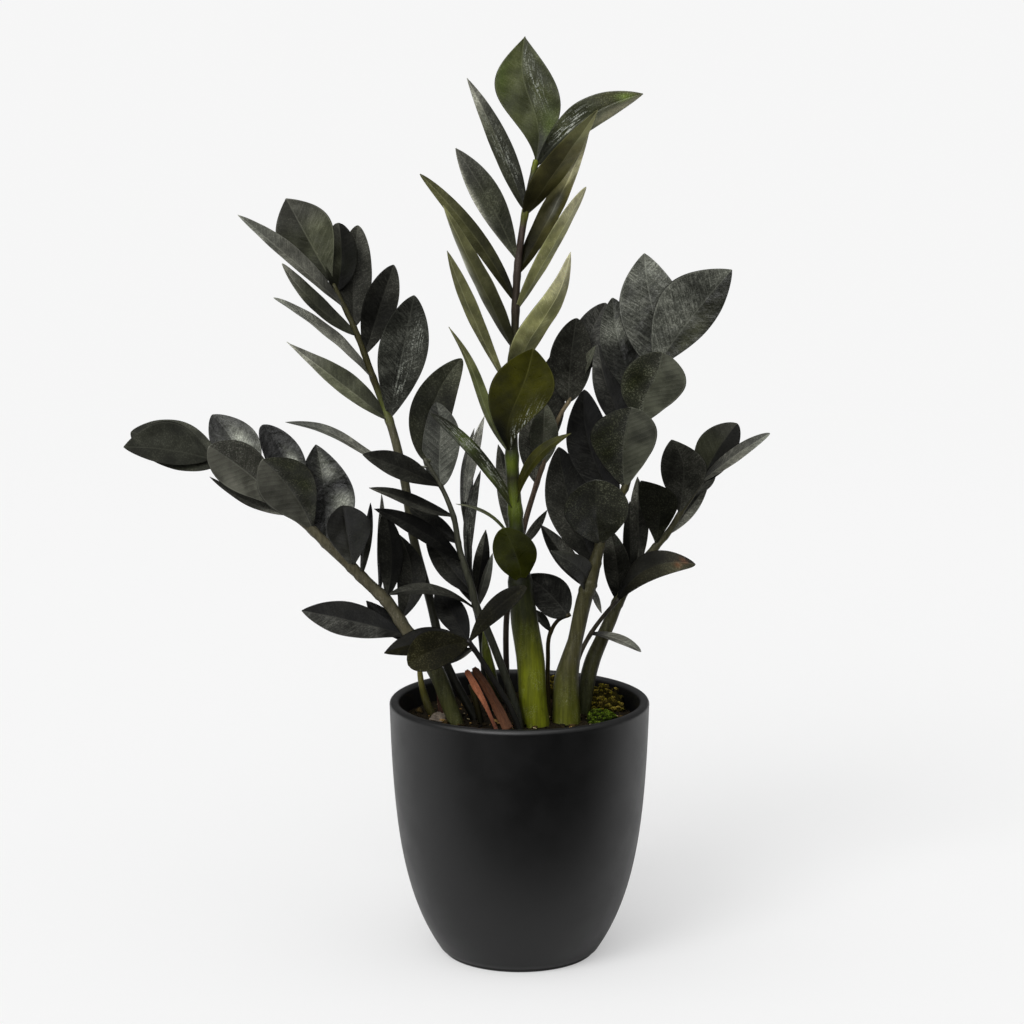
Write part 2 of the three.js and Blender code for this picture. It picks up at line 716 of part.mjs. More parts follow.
// A papery flake curled up at one end.
function flakeGeometry() {
  const outline = [
    { y: -7, left: -73, right: -58.6, lift: 1 },
    { y: -1, left: -71.5, right: -59.6, lift: 1.5 },
    { y: 5, left: -69.5, right: -60, lift: 2 },
    { y: 11, left: -66.5, right: -61.5, lift: 2.5 },
  ];
  const rows = outline.map(({ y, left, right, lift }) =>
    [0, 0.5, 1].map((q) => {
      const x = THREE.MathUtils.lerp(left, right, q);
      return new THREE.Vector3(x, y, MIX_TOP + lift + FLAKE_CURL * (1 - q) ** 2);
    }),
  );
  return plate(rows, new THREE.Vector3(0, 0, 1), BLADE_THICK);
}

// A curl of dried sheath that stands on the mix and leans left.
function scrapGeometry() {
  const [x, y] = [-63, 17];
  const [lean, hollow] = [3, 1.6];
  const rows = [0, 0.3, 0.65, 1].map((t) =>
    [-1, 0, 1].map((q) => {
      const across = q * SCRAP_HALF_WIDTH * (1 - 0.5 * t) - lean * t;
      return new THREE.Vector3(x + across, y + hollow * q * q, MIX_TOP + GAP + SCRAP_HEIGHT * t);
    }),
  );
  return plate(rows, new THREE.Vector3(0, -1, 0), BLADE_THICK);
}

function chipGeometry({ at, size, heading }) {
  const [long, wide, high] = size;
  const outline = new THREE.Shape([
    new THREE.Vector2(-long / 2, -wide * 0.3),
    new THREE.Vector2(-long * 0.1, -wide / 2),
    new THREE.Vector2(long / 2, -wide * 0.2),
    new THREE.Vector2(long * 0.4, wide * 0.35),
    new THREE.Vector2(-long * 0.3, wide / 2),
  ]);
  return new THREE.ExtrudeGeometry(outline, { depth: high, bevelEnabled: false })
    .rotateZ(THREE.MathUtils.degToRad(heading))
    .translate(at[0], at[1], MIX_TOP + GAP);
}

// A cushion with a knobbly top, cut off where the pot's wall stands.
function mossGeometry({ at, half, high }) {
  const around = MOSS_SIDES;
  const ground = MIX_TOP + GAP;
  const dome = [0.3, 0.55, 0.78, 0.93, 1];
  const rows = dome.map((d) =>
    Array.from({ length: around }, (_, k) => {
      const angle = (2 * Math.PI * k) / around;
      const knob = 1 + MOSS_KNOBS * Math.sin(5 * angle + 9 * d) * Math.sin(3 * angle - 4 * d);
      const rise = MOSS_RISE + (high - MOSS_RISE) * Math.sqrt(1 - d ** 2.4) * knob;
      const [x, y] = [half[0] * Math.cos(angle), half[1] * Math.sin(angle)];
      return new THREE.Vector3(at[0] + d * knob * x, at[1] + d * knob * y, ground + rise);
    }),
  );
  const top = new THREE.Vector3(at[0], at[1], ground + high);
  const foot = rows.at(-1).map((p) => new THREE.Vector3(p.x, p.y, ground));
  const middle = new THREE.Vector3(at[0], at[1], ground);
  const rings = [...rows, foot];
  const points = [top, ...rings.flat(), middle];
  const faces = [];
  for (let k = 0; k < around; k++) {
    const next = (k + 1) % around;
    faces.push(0, 1 + k, 1 + next);
    for (let r = 0; r + 1 < rings.length; r++) {
      const [a, b] = [1 + r * around + k, 1 + r * around + next];
      faces.push(a, a + around, b + around, a, b + around, b);
    }
    const last = 1 + (rings.length - 1) * around;
    faces.push(points.length - 1, last + next, last + k);
  }
  const cushion = solidFrom(geometryOf(points, faces));
  const inside = solidFrom(
    turned([
      new THREE.Vector2(0, MIX_TOP - 1),
      new THREE.Vector2(innerRadius(MIX_TOP - 1) - 2 * GAP, MIX_TOP - 1),
      new THREE.Vector2(POT_RIM_RADIUS - POT_WALL - 2 * GAP, POT_HEIGHT),
      new THREE.Vector2(0, POT_HEIGHT),
    ]),
  );
  return geometryFrom(cushion.intersect(inside));
}

// The whole plant.

const group = new THREE.Group();
group.name = "potted_zz_plant";

function add(name, geometry, colour, roughness) {
  const material = new THREE.MeshStandardMaterial({ color: colour, roughness, metalness: 0 });
  const mesh = new THREE.Mesh(geometry, material);
  mesh.name = name;
  group.add(mesh);
}

add("pot", potGeometry(), 0x161617, 0.55);
add("potting_mix", mixGeometry([...Object.values(FRONDS), ...Object.values(SHOOTS)]), 0x241a12, 1);
for (const [name, frond] of Object.entries(FRONDS))
  add(name, frondGeometry(frond), frond.colour, 0.4);
for (const [name, shoot] of Object.entries(SHOOTS))
  add(name, stemOf(shoot).geometry, shoot.colour, 0.5);
for (const [name, strip] of Object.entries(STRIPS)) add(name, stripGeometry(strip), 0x9c5f4c, 0.8);
add("papery_flake", flakeGeometry(), 0xa39c92, 0.9);
add("dried_scrap", scrapGeometry(), 0x5c2e22, 0.9);
for (const [name, chip] of Object.entries(CHIPS)) add(name, chipGeometry(chip), 0x4a3423, 1);
for (const [name, moss] of Object.entries(MOSS)) add(name, mossGeometry(moss), 0x6b7020, 1);

export default group;
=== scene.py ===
"""Looks of a potted zz plant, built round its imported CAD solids.

Lengths are worked out in millimetres and stored in metres. +Z is up and the plant's front faces -Y.
"""

import math

import bpy
import numpy as np
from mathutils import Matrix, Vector, noise


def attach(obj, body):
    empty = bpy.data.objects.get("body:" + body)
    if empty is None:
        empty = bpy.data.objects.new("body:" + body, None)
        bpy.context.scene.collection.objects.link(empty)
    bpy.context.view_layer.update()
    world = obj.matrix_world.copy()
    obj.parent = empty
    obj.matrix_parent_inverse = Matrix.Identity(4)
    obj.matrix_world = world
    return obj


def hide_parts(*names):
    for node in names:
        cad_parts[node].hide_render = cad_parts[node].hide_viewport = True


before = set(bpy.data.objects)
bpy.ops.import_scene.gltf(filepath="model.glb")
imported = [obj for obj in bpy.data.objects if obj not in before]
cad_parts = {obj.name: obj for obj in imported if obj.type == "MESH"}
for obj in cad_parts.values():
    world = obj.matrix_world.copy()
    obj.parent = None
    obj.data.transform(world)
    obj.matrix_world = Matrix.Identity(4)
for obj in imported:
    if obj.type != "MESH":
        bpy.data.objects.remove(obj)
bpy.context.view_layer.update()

MM = 0.001
SEED = 11
UP = np.array([0.0, 0.0, 1.0])
FRONT = np.array([0.0, -1.0, 0.0])

# The CAD model's driving dimensions.
POT_HEIGHT = 210.5
POT_RIM_RADIUS = 105
POT_FOOT_RADIUS = 62
POT_SWELL = 62
POT_WALL = 8
POT_FLOOR = 10
RIM_ROUND = 3.6
FOOT_ROUND = 2.5
MIX_TOP = 192
GAP = 0.35
FOOT_DEPTH = 32
BLADE_THICK = 0.9
STALK_HALF_WIDTH = 1.3
TIP_HALF_WIDTH = 0.5
STRIP_RIDGE = 0.9

# Detail that only the looks have.
POT_SEGMENTS = 144
STEM_SIDES = 18
STEM_STEP = 3.5  # between a stem's rings
NODE_SWELL, NODE_REACH = 0.16, 2.6  # how much a stem thickens where a leaflet leaves it, and how far
FLANK_PAINTED_SHADE = 0.5  # painted shade: how much darker a stem's flanks are painted than its front
ROW_STEP = 2.2  # between a leaflet's rows
VEIN_SPACING = 5.5
VEIN_SLANT = 0.8  # how far a side vein runs towards the tip as it crosses the blade
# As shares of a leaflet's width: the swelling between side veins, a blade's broad unevenness, the
# ruffle of its edges and how far its halves sag.
CUSHION, DIMPLE, RUFFLE, SAG = 0.005, 0.012, 0.022, 0.05
GROOVE, KEEL = 0.35, 0.5  # depth of the midrib's groove above and height of its keel below

# Places are given as they look from EYE on the upright plane through the pot's axis: across, up
# and behind that plane.
EYE = np.array([-6.0, -2200.0, 757.0])
CAMERA_PITCH = 10.14  # degrees under the horizon
FOCAL_PIXELS = 2798
IMAGE_PIXELS = 1024
SENSOR_WIDTH = 36


def seen(place):
    across, up, behind = place
    spread = (behind - EYE[1]) / -EYE[1]
    x = EYE[0] + (across - EYE[0]) * spread
    return np.array([x, behind, EYE[2] + (up - EYE[2]) * spread])


def unit(v):
    return v / np.linalg.norm(v)


def smooth(low, high, value):
    t = np.clip((np.asarray(value, float) - low) / (high - low), 0, 1)
    return t * t * (3 - 2 * t)


def blend(a, b, share):
    return np.asarray(a) + (np.asarray(b) - np.asarray(a)) * np.asarray(share)[..., None]


def circle(count):
    """Directions (x, y) all round."""
    angles = 2 * np.pi * np.arange(count) / count
    return np.stack([np.cos(angles), np.sin(angles)], -1)


def turned(x, y, angle):
    """A point turned about the origin."""
    return x * math.cos(angle) - y * math.sin(angle), x * math.sin(angle) + y * math.cos(angle)


# Closed shapes, gathered into one mesh for each piece.


class Shape:
    """Points in millimetres and faces. Each point has a colour, a place on its blade (share of the
    way from the midrib to the edge, painted glints, millimetres from the midrib), a grain (side
    veins, pale specks, painted sheen) and how plainly its side veins show. Each face has a
    material's number."""

    def __init__(self):
        self.rows, self.faces, self.slots = [], [], []
        self.count = 0

    def add(self, points, faces, tint, blade=(0, 0, 0), grain=(0, 0, 0), slot=0, veins=0):
        points = np.reshape(points, (-1, 3))
        columns = [np.broadcast_to(given, points.shape) for given in (points, tint, blade, grain)]
        self.rows.append(np.hstack([*columns, np.full((len(points), 1), veins)]))
        self.faces += [[int(i) + self.count for i in face] for face in faces]
        self.slots += np.broadcast_to(slot, len(faces)).tolist()
        self.count += len(points)

    def piece(self, name, node, materials):
        rows = np.concatenate(self.rows)
        points, tint, blade, grain, veins = np.split(rows, (3, 6, 9, 12), axis=1)
        mesh = bpy.data.meshes.new(name)
        mesh.from_pydata((points * MM).tolist(), [], self.faces)
        for material in materials:
            mesh.materials.append(material)
        mesh.polygons.foreach_set("material_index", self.slots)
        mesh.polygons.foreach_set("use_smooth", [True] * len(self.faces))
        # The tint's alpha says how plainly side veins show.
        colour = mesh.attributes.new("tint", "FLOAT_COLOR", "POINT")
        colour.data.foreach_set("color", np.hstack([tint, veins]).ravel())
        for label, values in (("blade", blade), ("grain", grain)):
            layer = mesh.attributes.new(label, "FLOAT_VECTOR", "POINT")
            layer.data.foreach_set("vector", values.ravel())
        mesh.update()
        obj = bpy.data.objects.new(name, mesh)
        bpy.context.scene.collection.objects.link(obj)
        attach(obj, "root")
        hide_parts(node)


def grid_faces(rows, columns, first=0, closed=False):
    """Quads over a grid of points. `closed` joins the last column to the first."""
    faces = []
    for r in range(rows - 1):
        for c in range(columns if closed else columns - 1):
            a = first + r * columns + c
            b = first + r * columns + (c + 1) % columns
            faces.append([a, b, b + columns, a + columns])
    return faces


def flipped(faces):
    return [face[::-1] for face in faces]


def tube_faces(rings, around):
    """Faces of a closed tube of rings, with a cap at each end."""
    first = list(range(around))
    last = [k + (rings - 1) * around for k in first]
    return [*grid_faces(rings, around, closed=True), first[::-1], last]


def slab_faces(rows, columns):
    """Faces of a closed slab: a grid of points above, another below, and the rim between."""
    below = rows * columns
    rim = list(range(columns))
    rim += [r * columns + columns - 1 for r in range(1, rows)]
    rim += [(rows - 1) * columns + c for c in range(columns - 2, -1, -1)]
    rim += [r * columns for r in range(rows - 2, 0, -1)]
    faces = grid_faces(rows, columns) + flipped(grid_faces(rows, columns, below))
    return faces + [[a, a + below, b + below, b] for a, b in zip(rim, rim[1:] + rim[:1])]


# Stems.


class Route:
    """A centripetal Catmull-Rom curve through points, as the CAD model's."""

    def __init__(self, points):
        points = [np.asarray(p, float) for p in points]
        self.spans = len(points) - 1
        self.points = [2 * points[0] - points[1], *points, 2 * points[-1] - points[-2]]
        steps = [self.at(t) for t in np.linspace(0, 1, 60)]
        self.length = sum(np.linalg.norm(b - a) for a, b in zip(steps, steps[1:]))

    def at(self, t):
        """The point at a share of the way, where every span counts alike."""
        place = t * self.spans
        k = min(int(place), self.spans - 1)
        u = place - k
        p0, p1, p2, p3 = self.points[k : k + 4]
        d0, d1, d2 = (np.linalg.norm(b - a) ** 0.5 for a, b in ((p0, p1), (p1, p2), (p2, p3)))
        m1 = ((p1 - p0) / d0 - (p2 - p0) / (d0 + d1) + (p2 - p1) / d1) * d1
        m2 = ((p2 - p1) / d1 - (p3 - p1) / (d1 + d2) + (p3 - p2) / d2) * d1
        square = -3 * p1 + 3 * p2 - 2 * m1 - m2
        cube = 2 * p1 - 2 * p2 + m1 + m2
        return p1 + m1 * u + square * u**2 + cube * u**3

    def along(self, t):
        step = 1e-4
        return unit(self.at(min(t + step, 1)) - self.at(max(t - step, 0)))


class Stem:
    """A stem, by its place and radius at the foot, its skin's colours as (height, red, green,
    blue) with the colours in thousandths, its points as (across, up, behind, radius), and the
    leaflets on it."""

    def __init__(self, foot, foot_radius, skin, points, *leaflets):
        self.foot, self.leaflets = foot, leaflets
        self.heights, *self.channels = zip(*skin)
        self.radii = [foot_radius, *(p[3] for p in points)]
        self.route = Route([(*foot, MIX_TOP + 1), *(seen(p[:3]) for p in points)])
        self.joints = [self.share(leaf["start"]) for leaf in leaflets]

    def share(self, up):
        """Where along the route the stem looks as high as `up`."""
        low, high = 0.0, 1.0
        for _ in range(30):
            t = (low + high) / 2
            _, y, z = self.route.at(t)
            spread = (y - EYE[1]) / -EYE[1]
            if EYE[2] + (z - EYE[2]) / spread < up:
                low = t
            else:
                high = t
        return low

    def radius(self, t):
        plain = np.interp(t, np.linspace(0, 1, len(self.radii)), self.radii)
        near = min((abs(t - joint) for joint in self.joints), default=1) * self.route.length
        return plain * (1 + NODE_SWELL * math.exp(-((near / NODE_REACH) ** 2)))

    def colour(self, z):
        return np.array([np.interp(z, self.heights, values) for values in self.channels]) / 1000

    def build(self, shape, slot=0):
        bottom = np.array([*self.foot, MIX_TOP - FOOT_DEPTH])
        rings = [(bottom, UP, self.radii[0])]
        steps = max(int(self.route.length / STEM_STEP), 6)
        for k in range(steps + 1):
            t = k / steps
            rings.append((self.route.at(t), self.route.along(t) if k else UP, self.radius(t)))
        points, tints = [], []
        for centre, along, radius in rings:
            v = unit(along * FRONT.dot(along) - FRONT)
            u = np.cross(v, along)
            for x, y in circle(STEM_SIDES):
                points.append(centre + radius * (u * x + v * y))
                # The flanks carry painted shade.
                tints.append(self.colour(centre[2]) * (1.1 - FLANK_PAINTED_SHADE * x**4))
        shape.add(points, tube_faces(len(rings), STEM_SIDES), tints, slot=slot)


# Hues, as linear RGB whose green is 1. A tone, in hundredths, says how light one is.

NEUTRAL = (1.00, 1, 0.80)
COOL = (0.96, 1, 0.82)
GREEN = (0.95, 1, 0.60)
SLATE = (0.96, 1, 0.72)
LEAFY = (0.88, 1, 0.34)
VIVID = (0.86, 1, 0.05)
OLIVE = (1.00, 1, 0.40)
GOLD = (1.00, 1, 0.05)
BROWN = (1.08, 1, 0.30)
STRAW = (1.05, 1, 0.58)
INKY = (1.00, 1, 0.88)
FRESH = (0.72, 1, 0.16)
WALNUT = (2.20, 1, 0.45)

# A frond's materials, by number.
WAXY, BACK, SKIN, DULL, GLOSSY = range(5)
HIDDEN_FACE = (1.5, 1.5, 1.5)  # tones of a leaflet's upper face where its lower one shows
HIDDEN_BACK = (3, 6, 6)
HIDDEN_GRAIN = (1, 0.3, 0.3)  # how plainly veins, specks and painted sheen show on the other face


def look(hue, tip_hue=None, fleck=0.4, film=0.5, veins=0.5, finish=WAXY, backed=False):
    """How a leaflet's visible face looks: its hue, how thick its pale specks lie (`fleck`) and how
    much painted sheen lies on it in streaks, as a number or one for each half, and how plainly its
    side veins show. `backed` says that the visible face is the lower one."""
    words = {"fleck": fleck, "film": film, "veins": veins, "finish": finish, "backed": backed}
    return {"hues": (hue, tip_hue or hue), **words}


LOOKS = {
    "crown_face": look(LEAFY, fleck=(0.1, 0.3), film=(0.25, 0.3), veins=0.2),
    "crown_cup": look(LEAFY, OLIVE, fleck=(0.3, 0.1), film=(0.3, 0.2), veins=0.2),
    "crown_dark": look(GREEN, NEUTRAL, fleck=0.3, film=(0.4, 0.5), veins=0.2),
    "crown_olive": look(OLIVE, fleck=0.1, film=0.2, veins=0.1, finish=DULL),
    "brown_face": look(BROWN, STRAW, fleck=0, film=0.2, veins=0.1, finish=DULL),
    "brown_back": look(BROWN, OLIVE, fleck=0, film=0.15, veins=0.1, backed=True),
    "pale_back": look(OLIVE, STRAW, fleck=0, film=0.25, veins=0.1, backed=True),
    "olive_back": look(OLIVE, fleck=0, film=0.2, veins=0.1, backed=True),
    "lime_back": look(LEAFY, OLIVE, fleck=0, film=0.2, veins=0.1, backed=True),
    "grey_back": look(COOL, fleck=0.3, film=0.4, veins=1, backed=True),
    "gold": look(GOLD, fleck=(0, 0.05), film=(0, 0.1), veins=0.1),
    "gold_small": look(GOLD, fleck=0.1, film=0.1, veins=0.1),
    "vivid": look(VIVID, fleck=0.1, film=0, veins=0.1),
    "lime": look(LEAFY, GREEN, fleck=0.1, film=(0.3, 0.2), veins=0.2),
    "dark": look(SLATE, fleck=0.2, film=0.3, veins=0.2, finish=DULL),
    "black": look(NEUTRAL, fleck=0.3, film=0.6, finish=DULL),
    "night": look(INKY, fleck=0.2, film=(0.9, 0.7), finish=DULL),
    "dull_green": look(GREEN, finish=DULL),
    "dull_brown": look(BROWN, fleck=0.7, film=0, veins=0.2, finish=DULL),
    "damaged": look(STRAW, fleck=0.3, film=0.3, finish=DULL),
    "green": look(GREEN, NEUTRAL, fleck=0.1, film=0.3),
    "grey": look(NEUTRAL, COOL, fleck=0.15, film=0.6),
    "satin": look(COOL, fleck=0.3, film=(0.8, 0.6), veins=1, finish=GLOSSY),
    "speckled": look(SLATE, fleck=(1, 0), film=(0.3, 0.1), veins=0.75),
    "two_tone": look(NEUTRAL, fleck=(0, 0.6), film=(0.1, 0.3), veins=0.75),
}

# What shapes a leaflet. Bends are shares of its length.
LEAFLET = {
    "turn": 0,  # degrees by which its face turns from the viewer
    "fold": 10,  # degrees by which each half rises from the midrib
    "bow": 0,  # bend towards the viewer
    "sway": 0,  # bend to one side
    "wave": 0,  # bend to one side and then to the other
    "lean": 0,  # how much wider one half is than the other
    "widest": 0.5,  # where it is widest, as a share of its length
    "blunt": 0.8,  # 1 is pointed at both ends, less is rounder
    "tip_span": (0.55, 0.85),  # shares of its length over which its tip's tone sets in
    "patches": (),
    "sparks": (),
}


def leaflet(start, tip, wide, look_name, tones, halves=(1, 1), **words):
    """One leaflet: the height at which it leaves its stem, its point, its greatest width, its
    look, its tones at base, middle and tip, how strong they are on its two halves, and what sets
    it apart from LEAFLET and its look. The two halves' strengths are partly the leaflet's own colour
    and partly painted light and shade, as the halves of the folded blade meet the light differently."""
    given = {"start": start, "tip": tip, "wide": wide, "tones": tones, "halves": halves}
    return {**LEAFLET, **LOOKS[look_name], **given, **words}


# Patches of another tint are (spot, reach, hue, tone) and painted glints are (spot, reach,
# amount), with a spot as (share of the way to the tip, share of the way from the midrib to the edge).
# The patches named for sheen are painted sheen, and the very dark patches among them paint the dark
# that the glossy blade reflects.
CROWN_GREEN = (((0.7, -0.8), (0.15, 0.25), FRESH, 7), ((0.3, 0.6), (0.15, 0.35), FRESH, 6))
CROWN_SPARKS = (((0.6, 0.35), (0.14, 0.25), 1), ((0.85, 0.35), (0.06, 0.2), 1.2))
CUP_GREEN = (((0.87, -0.3), (0.06, 0.4), FRESH, 16), ((0.75, 0.7), (0.16, 0.25), STRAW, 12))
CUP_SPARKS = (((0.42, -0.3), (0.12, 0.35), 3),)
LONG_SPARKS = (((0.55, -0.3), (0.2, 0.3), 1), ((0.4, 0.3), (0.2, 0.3), 0.8))
# Painted sheen along the left flank of the blade.
FLANK_SHEEN = (((0.6, -1), (0.35, 0.22), NEUTRAL, 32),)
# A paler grey patch near one edge.
GREY_FLANK = (((0.7, 0.9), (0.3, 0.35), NEUTRAL, 55),)
BROWN_SHEEN = (((0.5, 0.1), (0.09, 0.3), NEUTRAL, 14),)
DARK_FOOT = (((0.1, 0), (0.26, 2), OLIVE, 2),)
GOLD_SHADE = (((0.2, -0.7), (0.25, 0.9), OLIVE, 0.3), ((0.8, -0.2), (0.1, 0.6), GOLD, 7))
GOLD_SPARKS = (((0.3, 0.75), (0.2, 0.3), 1.6),)
LIME_SHEEN = (((0.65, 0.2), (0.1, 0.8), FRESH, 12), ((0.35, -0.3), (0.1, 0.5), FRESH, 12))
LIME_SPARKS = (((0.5, 0.3), (0.25, 0.4), 4), ((0.75, -0.5), (0.12, 0.3), 3))
STREAK_SPARKS = (((0.35, 0.2), (0.2, 0.3), 1), ((0.7, 0.5), (0.12, 0.2), 1.2))
RIGHT_SHEEN = (((0.5, 0.35), (0.16, 0.28), COOL, 38), ((0.2, 0), (0.1, 0.8), COOL, 14))
LOW_SHEEN = (((0.45, 0.35), (0.15, 0.25), COOL, 32), ((0.85, -0.5), (0.15, 0.4), COOL, 0.3))
HIGH_SHEEN = (
    ((0.76, 0.25), (0.14, 0.3), COOL, 16), ((0.45, -0.5), (0.14, 0.7), COOL, 0.2),
    ((0.36, 0.6), (0.15, 0.3), COOL, 17), ((0.57, 0.6), (0.07, 0.7), COOL, 0.2),
)
SHEEN_SPARKS = (((0.45, 0.3), (0.15, 0.3), 0.8),)
STRAP_SPARKS = (((0.5, 0), (0.4, 0.6), 1.5),)
MOSSY_LEFT = (((0.6, -0.6), (0.5, 0.45), LEAFY, 3),)
DARK_LEFT = (((0.6, -0.6), (0.5, 0.45), LEAFY, 2),)
TOP_SHEEN = (
    ((0.62, -0.35), (0.13, 0.3), COOL, 11), ((0.35, -0.5), (0.12, 0.4), COOL, 3),
    ((0.3, 0.4), (0.2, 0.5), COOL, 4), ((0.9, 0), (0.06, 0.6), COOL, 13),
)
SIDE_SHEEN = (
    ((0.5, -0.15), (0.12, 0.2), COOL, 8), ((0.72, -0.55), (0.12, 0.4), COOL, 3.5),
    ((0.3, -0.6), (0.12, 0.3), COOL, 8), ((0.45, 0.5), (0.3, 0.4), GREEN, 5),
)
BAND_SHEEN = (((0.72, 0), (0.08, 0.9), COOL, 14), ((0.45, 0.2), (0.15, 0.5), COOL, 1))
MOSSY_HALF = (((0.65, 0.6), (0.5, 0.45), LEAFY, 2.6),)
DARK_HALF = (((0.6, 0.6), (0.6, 0.5), LEAFY, 0.6),)
BURNS = (((0.82, 0.3), (0.03, 0.3), WALNUT, 5), ((0.9, -0.2), (0.03, 0.4), WALNUT, 5))

FRONDS = {}

FRONDS["crown_frond"] = Stem(
    (14, -14), 10.4,
    [
        # The dark stretch from 282 to 352 is painted shadow, where the stem lies in shade.
        (190, 110, 125, 6), (235, 115, 130, 6), (255, 90, 100, 6), (282, 18, 21, 3), (325, 6, 7, 2),
        (352, 18, 23, 5), (372, 90, 120, 10), (392, 20, 20, 8), (403, 80, 110, 8), (414, 20, 24, 8),
        (450, 22, 22, 8), (470, 50, 60, 12), (520, 30, 22, 14), (560, 50, 38, 30), (590, 55, 40, 32),
        (600, 110, 120, 20), (610, 50, 40, 28), (630, 50, 50, 28), (640, 120, 140, 10),
    ],
    [
        (11, 209, -14, 11.2), (9, 242, -12, 11.3), (4, 275, -10, 11), (-1, 324, -6, 8), (-3, 357, -4, 5.8),
        (-6, 406, -2, 5.2), (-6, 454, 0, 4.2), (-4, 502, 2, 3.2), (-1, 565, 4, 2.8), (7, 616, 6, 2.6),
        (13, 643, 8, 2.2),
    ],
    leaflet(640, (4, 738, 14), 49, "crown_face", (3, 6, 7), (1.2, 0.8), patches=CROWN_GREEN,
        sparks=CROWN_SPARKS, widest=0.57, blunt=1.05, wave=0.045),
    leaflet(636, (96, 694, -12), 29, "crown_cup", (1, 4, 5), (1, 0.8), patches=CUP_GREEN, sparks=CUP_SPARKS,
        turn=-25, sway=-0.09, fold=22, widest=0.56),
    leaflet(600, (61, 682, -34), 32, "brown_back", (4, 13, 28), (1.4, 0.7), tip_span=(0.62, 0.75),
        turn=-130, widest=0.42),
    leaflet(603, (-41, 706, 6), 19, "crown_dark", (2.5, 4, 20), (1.4, 0.6), sparks=LONG_SPARKS, turn=25,
        sway=0.02, fold=15, widest=0.44),
    leaflet(563, (-50, 652, -4), 24, "crown_dark", (5, 5, 7), (0.9, 0.9), patches=FLANK_SHEEN, turn=10,
        fold=15, sway=0.03, widest=0.56),
    leaflet(553, (54, 664, 12), 22, "brown_face", (1, 4, 32), (0.8, 1.3), tip_span=(0.55, 0.75),
        patches=BROWN_SHEEN, turn=-40, sway=0.02, fold=15, widest=0.42),
    leaflet(524, (52, 622, -16), 22, "pale_back", (24, 52, 58), turn=-125, widest=0.54, blunt=0.6),
    leaflet(531, (-78, 632, 18), 15, "crown_olive", (1, 5, 8), (1.2, 0.8), turn=20, sway=0.04, fold=15,
        blunt=0.6),
    leaflet(494, (-60, 608, -18), 21, "olive_back", (2, 8, 20), (0.9, 1.1), patches=GREY_FLANK, turn=135,
        widest=0.43),
    leaflet(458, (-57, 572, -10), 17, "olive_back", (15, 14, 12), turn=135, sway=-0.02, widest=0.6),
    leaflet(462, (40, 571, -14), 29, "pale_back", (10, 58, 75), patches=DARK_FOOT, turn=-135, widest=0.42,
        wave=-0.03),
    leaflet(407, (11, 495, -44), 50, "gold", (1.5, 5, 5.5), (1.1, 0.9), patches=GOLD_SHADE,
        sparks=GOLD_SPARKS, widest=0.68, bow=0.04, sway=-0.06, wave=-0.03),
    leaflet(409, (-56, 512, -28), 13, "lime_back", (7, 12, 18), turn=135, widest=0.4, wave=-0.02),
    leaflet(364, (-71, 443, -48), 20, "lime", (4, 2.5, 2), patches=LIME_SHEEN, sparks=LIME_SPARKS, turn=55,
        sway=0.04, fold=15, blunt=0.6),
    leaflet(362, (41, 427, -28), 15, "gold_small", (2, 2.5, 3), turn=-50, sway=-0.14, widest=0.55),
    leaflet(328, (-51, 370, -20), 10, "lime", (6, 8, 12), turn=75, sway=0.15),
    leaflet(306, (-13, 351, -52), 34, "vivid", (9, 5, 3), widest=0.68, bow=0.1, sway=0.05, blunt=0.5),
)

FRONDS["upper_left_frond"] = Stem(
    (-36, 6), 3.6,
    [
        (200, 8, 8, 5), (300, 18, 18, 10), (400, 72, 66, 36), (425, 72, 66, 36), (440, 85, 100, 22),
        (460, 36, 32, 10), (550, 32, 30, 10),
    ],
    [
        (-44, 209, 8, 3.6), (-60, 242, 14, 3.6), (-72, 292, 22, 3.6), (-85, 343, 30, 3.6),
        (-91, 385, 36, 3.6), (-97, 414, 40, 3.6), (-103, 436, 44, 3.4), (-114, 466, 48, 2.8),
        (-130, 510, 52, 2.3), (-147, 546, 56, 1.8),
    ],
    leaflet(527, (-221, 600, 20), 23, "grey", (5, 12, 19), (1.2, 0.9), turn=50, sway=0.01, fold=20),
    leaflet(544, (-183, 613, 50), 47, "green", (5, 8, 7), (0.6, 1.4), widest=0.62, fold=8, blunt=0.9),
    leaflet(540, (-142, 594, 66), 27, "green", (0.5, 2, 4), (1.6, 0.3), finish=DULL, turn=10, sway=0.05,
        blunt=0.5),
    leaflet(512, (-127, 592, 80), 30, "black", (2, 2, 4), (0.8, 1.2), turn=15, sway=-0.02, blunt=0.6),
    leaflet(490, (-99, 561, 50), 28, "black", (1.5, 1, 2), (0.7, 1.3), turn=-10, widest=0.56, blunt=0.65),
    leaflet(438, (-83, 537, 24), 40, "satin", (2.5, 4.5, 3.5), (1.1, 1), sparks=STREAK_SPARKS, widest=0.58,
        blunt=0.68),
    leaflet(505, (-187, 562, 24), 19, "green", (2, 3, 22), turn=45, fold=15, sway=-0.06, blunt=0.65),
    leaflet(470, (-194, 535, 34), 25, "grey", (8, 25, 24), turn=70, sway=0.05, blunt=0.6),
    leaflet(437, (-184, 500, 22), 25, "green", (3.5, 11, 26), (1.5, 0.6), turn=40, fold=20, widest=0.42,
        blunt=1.1),
)

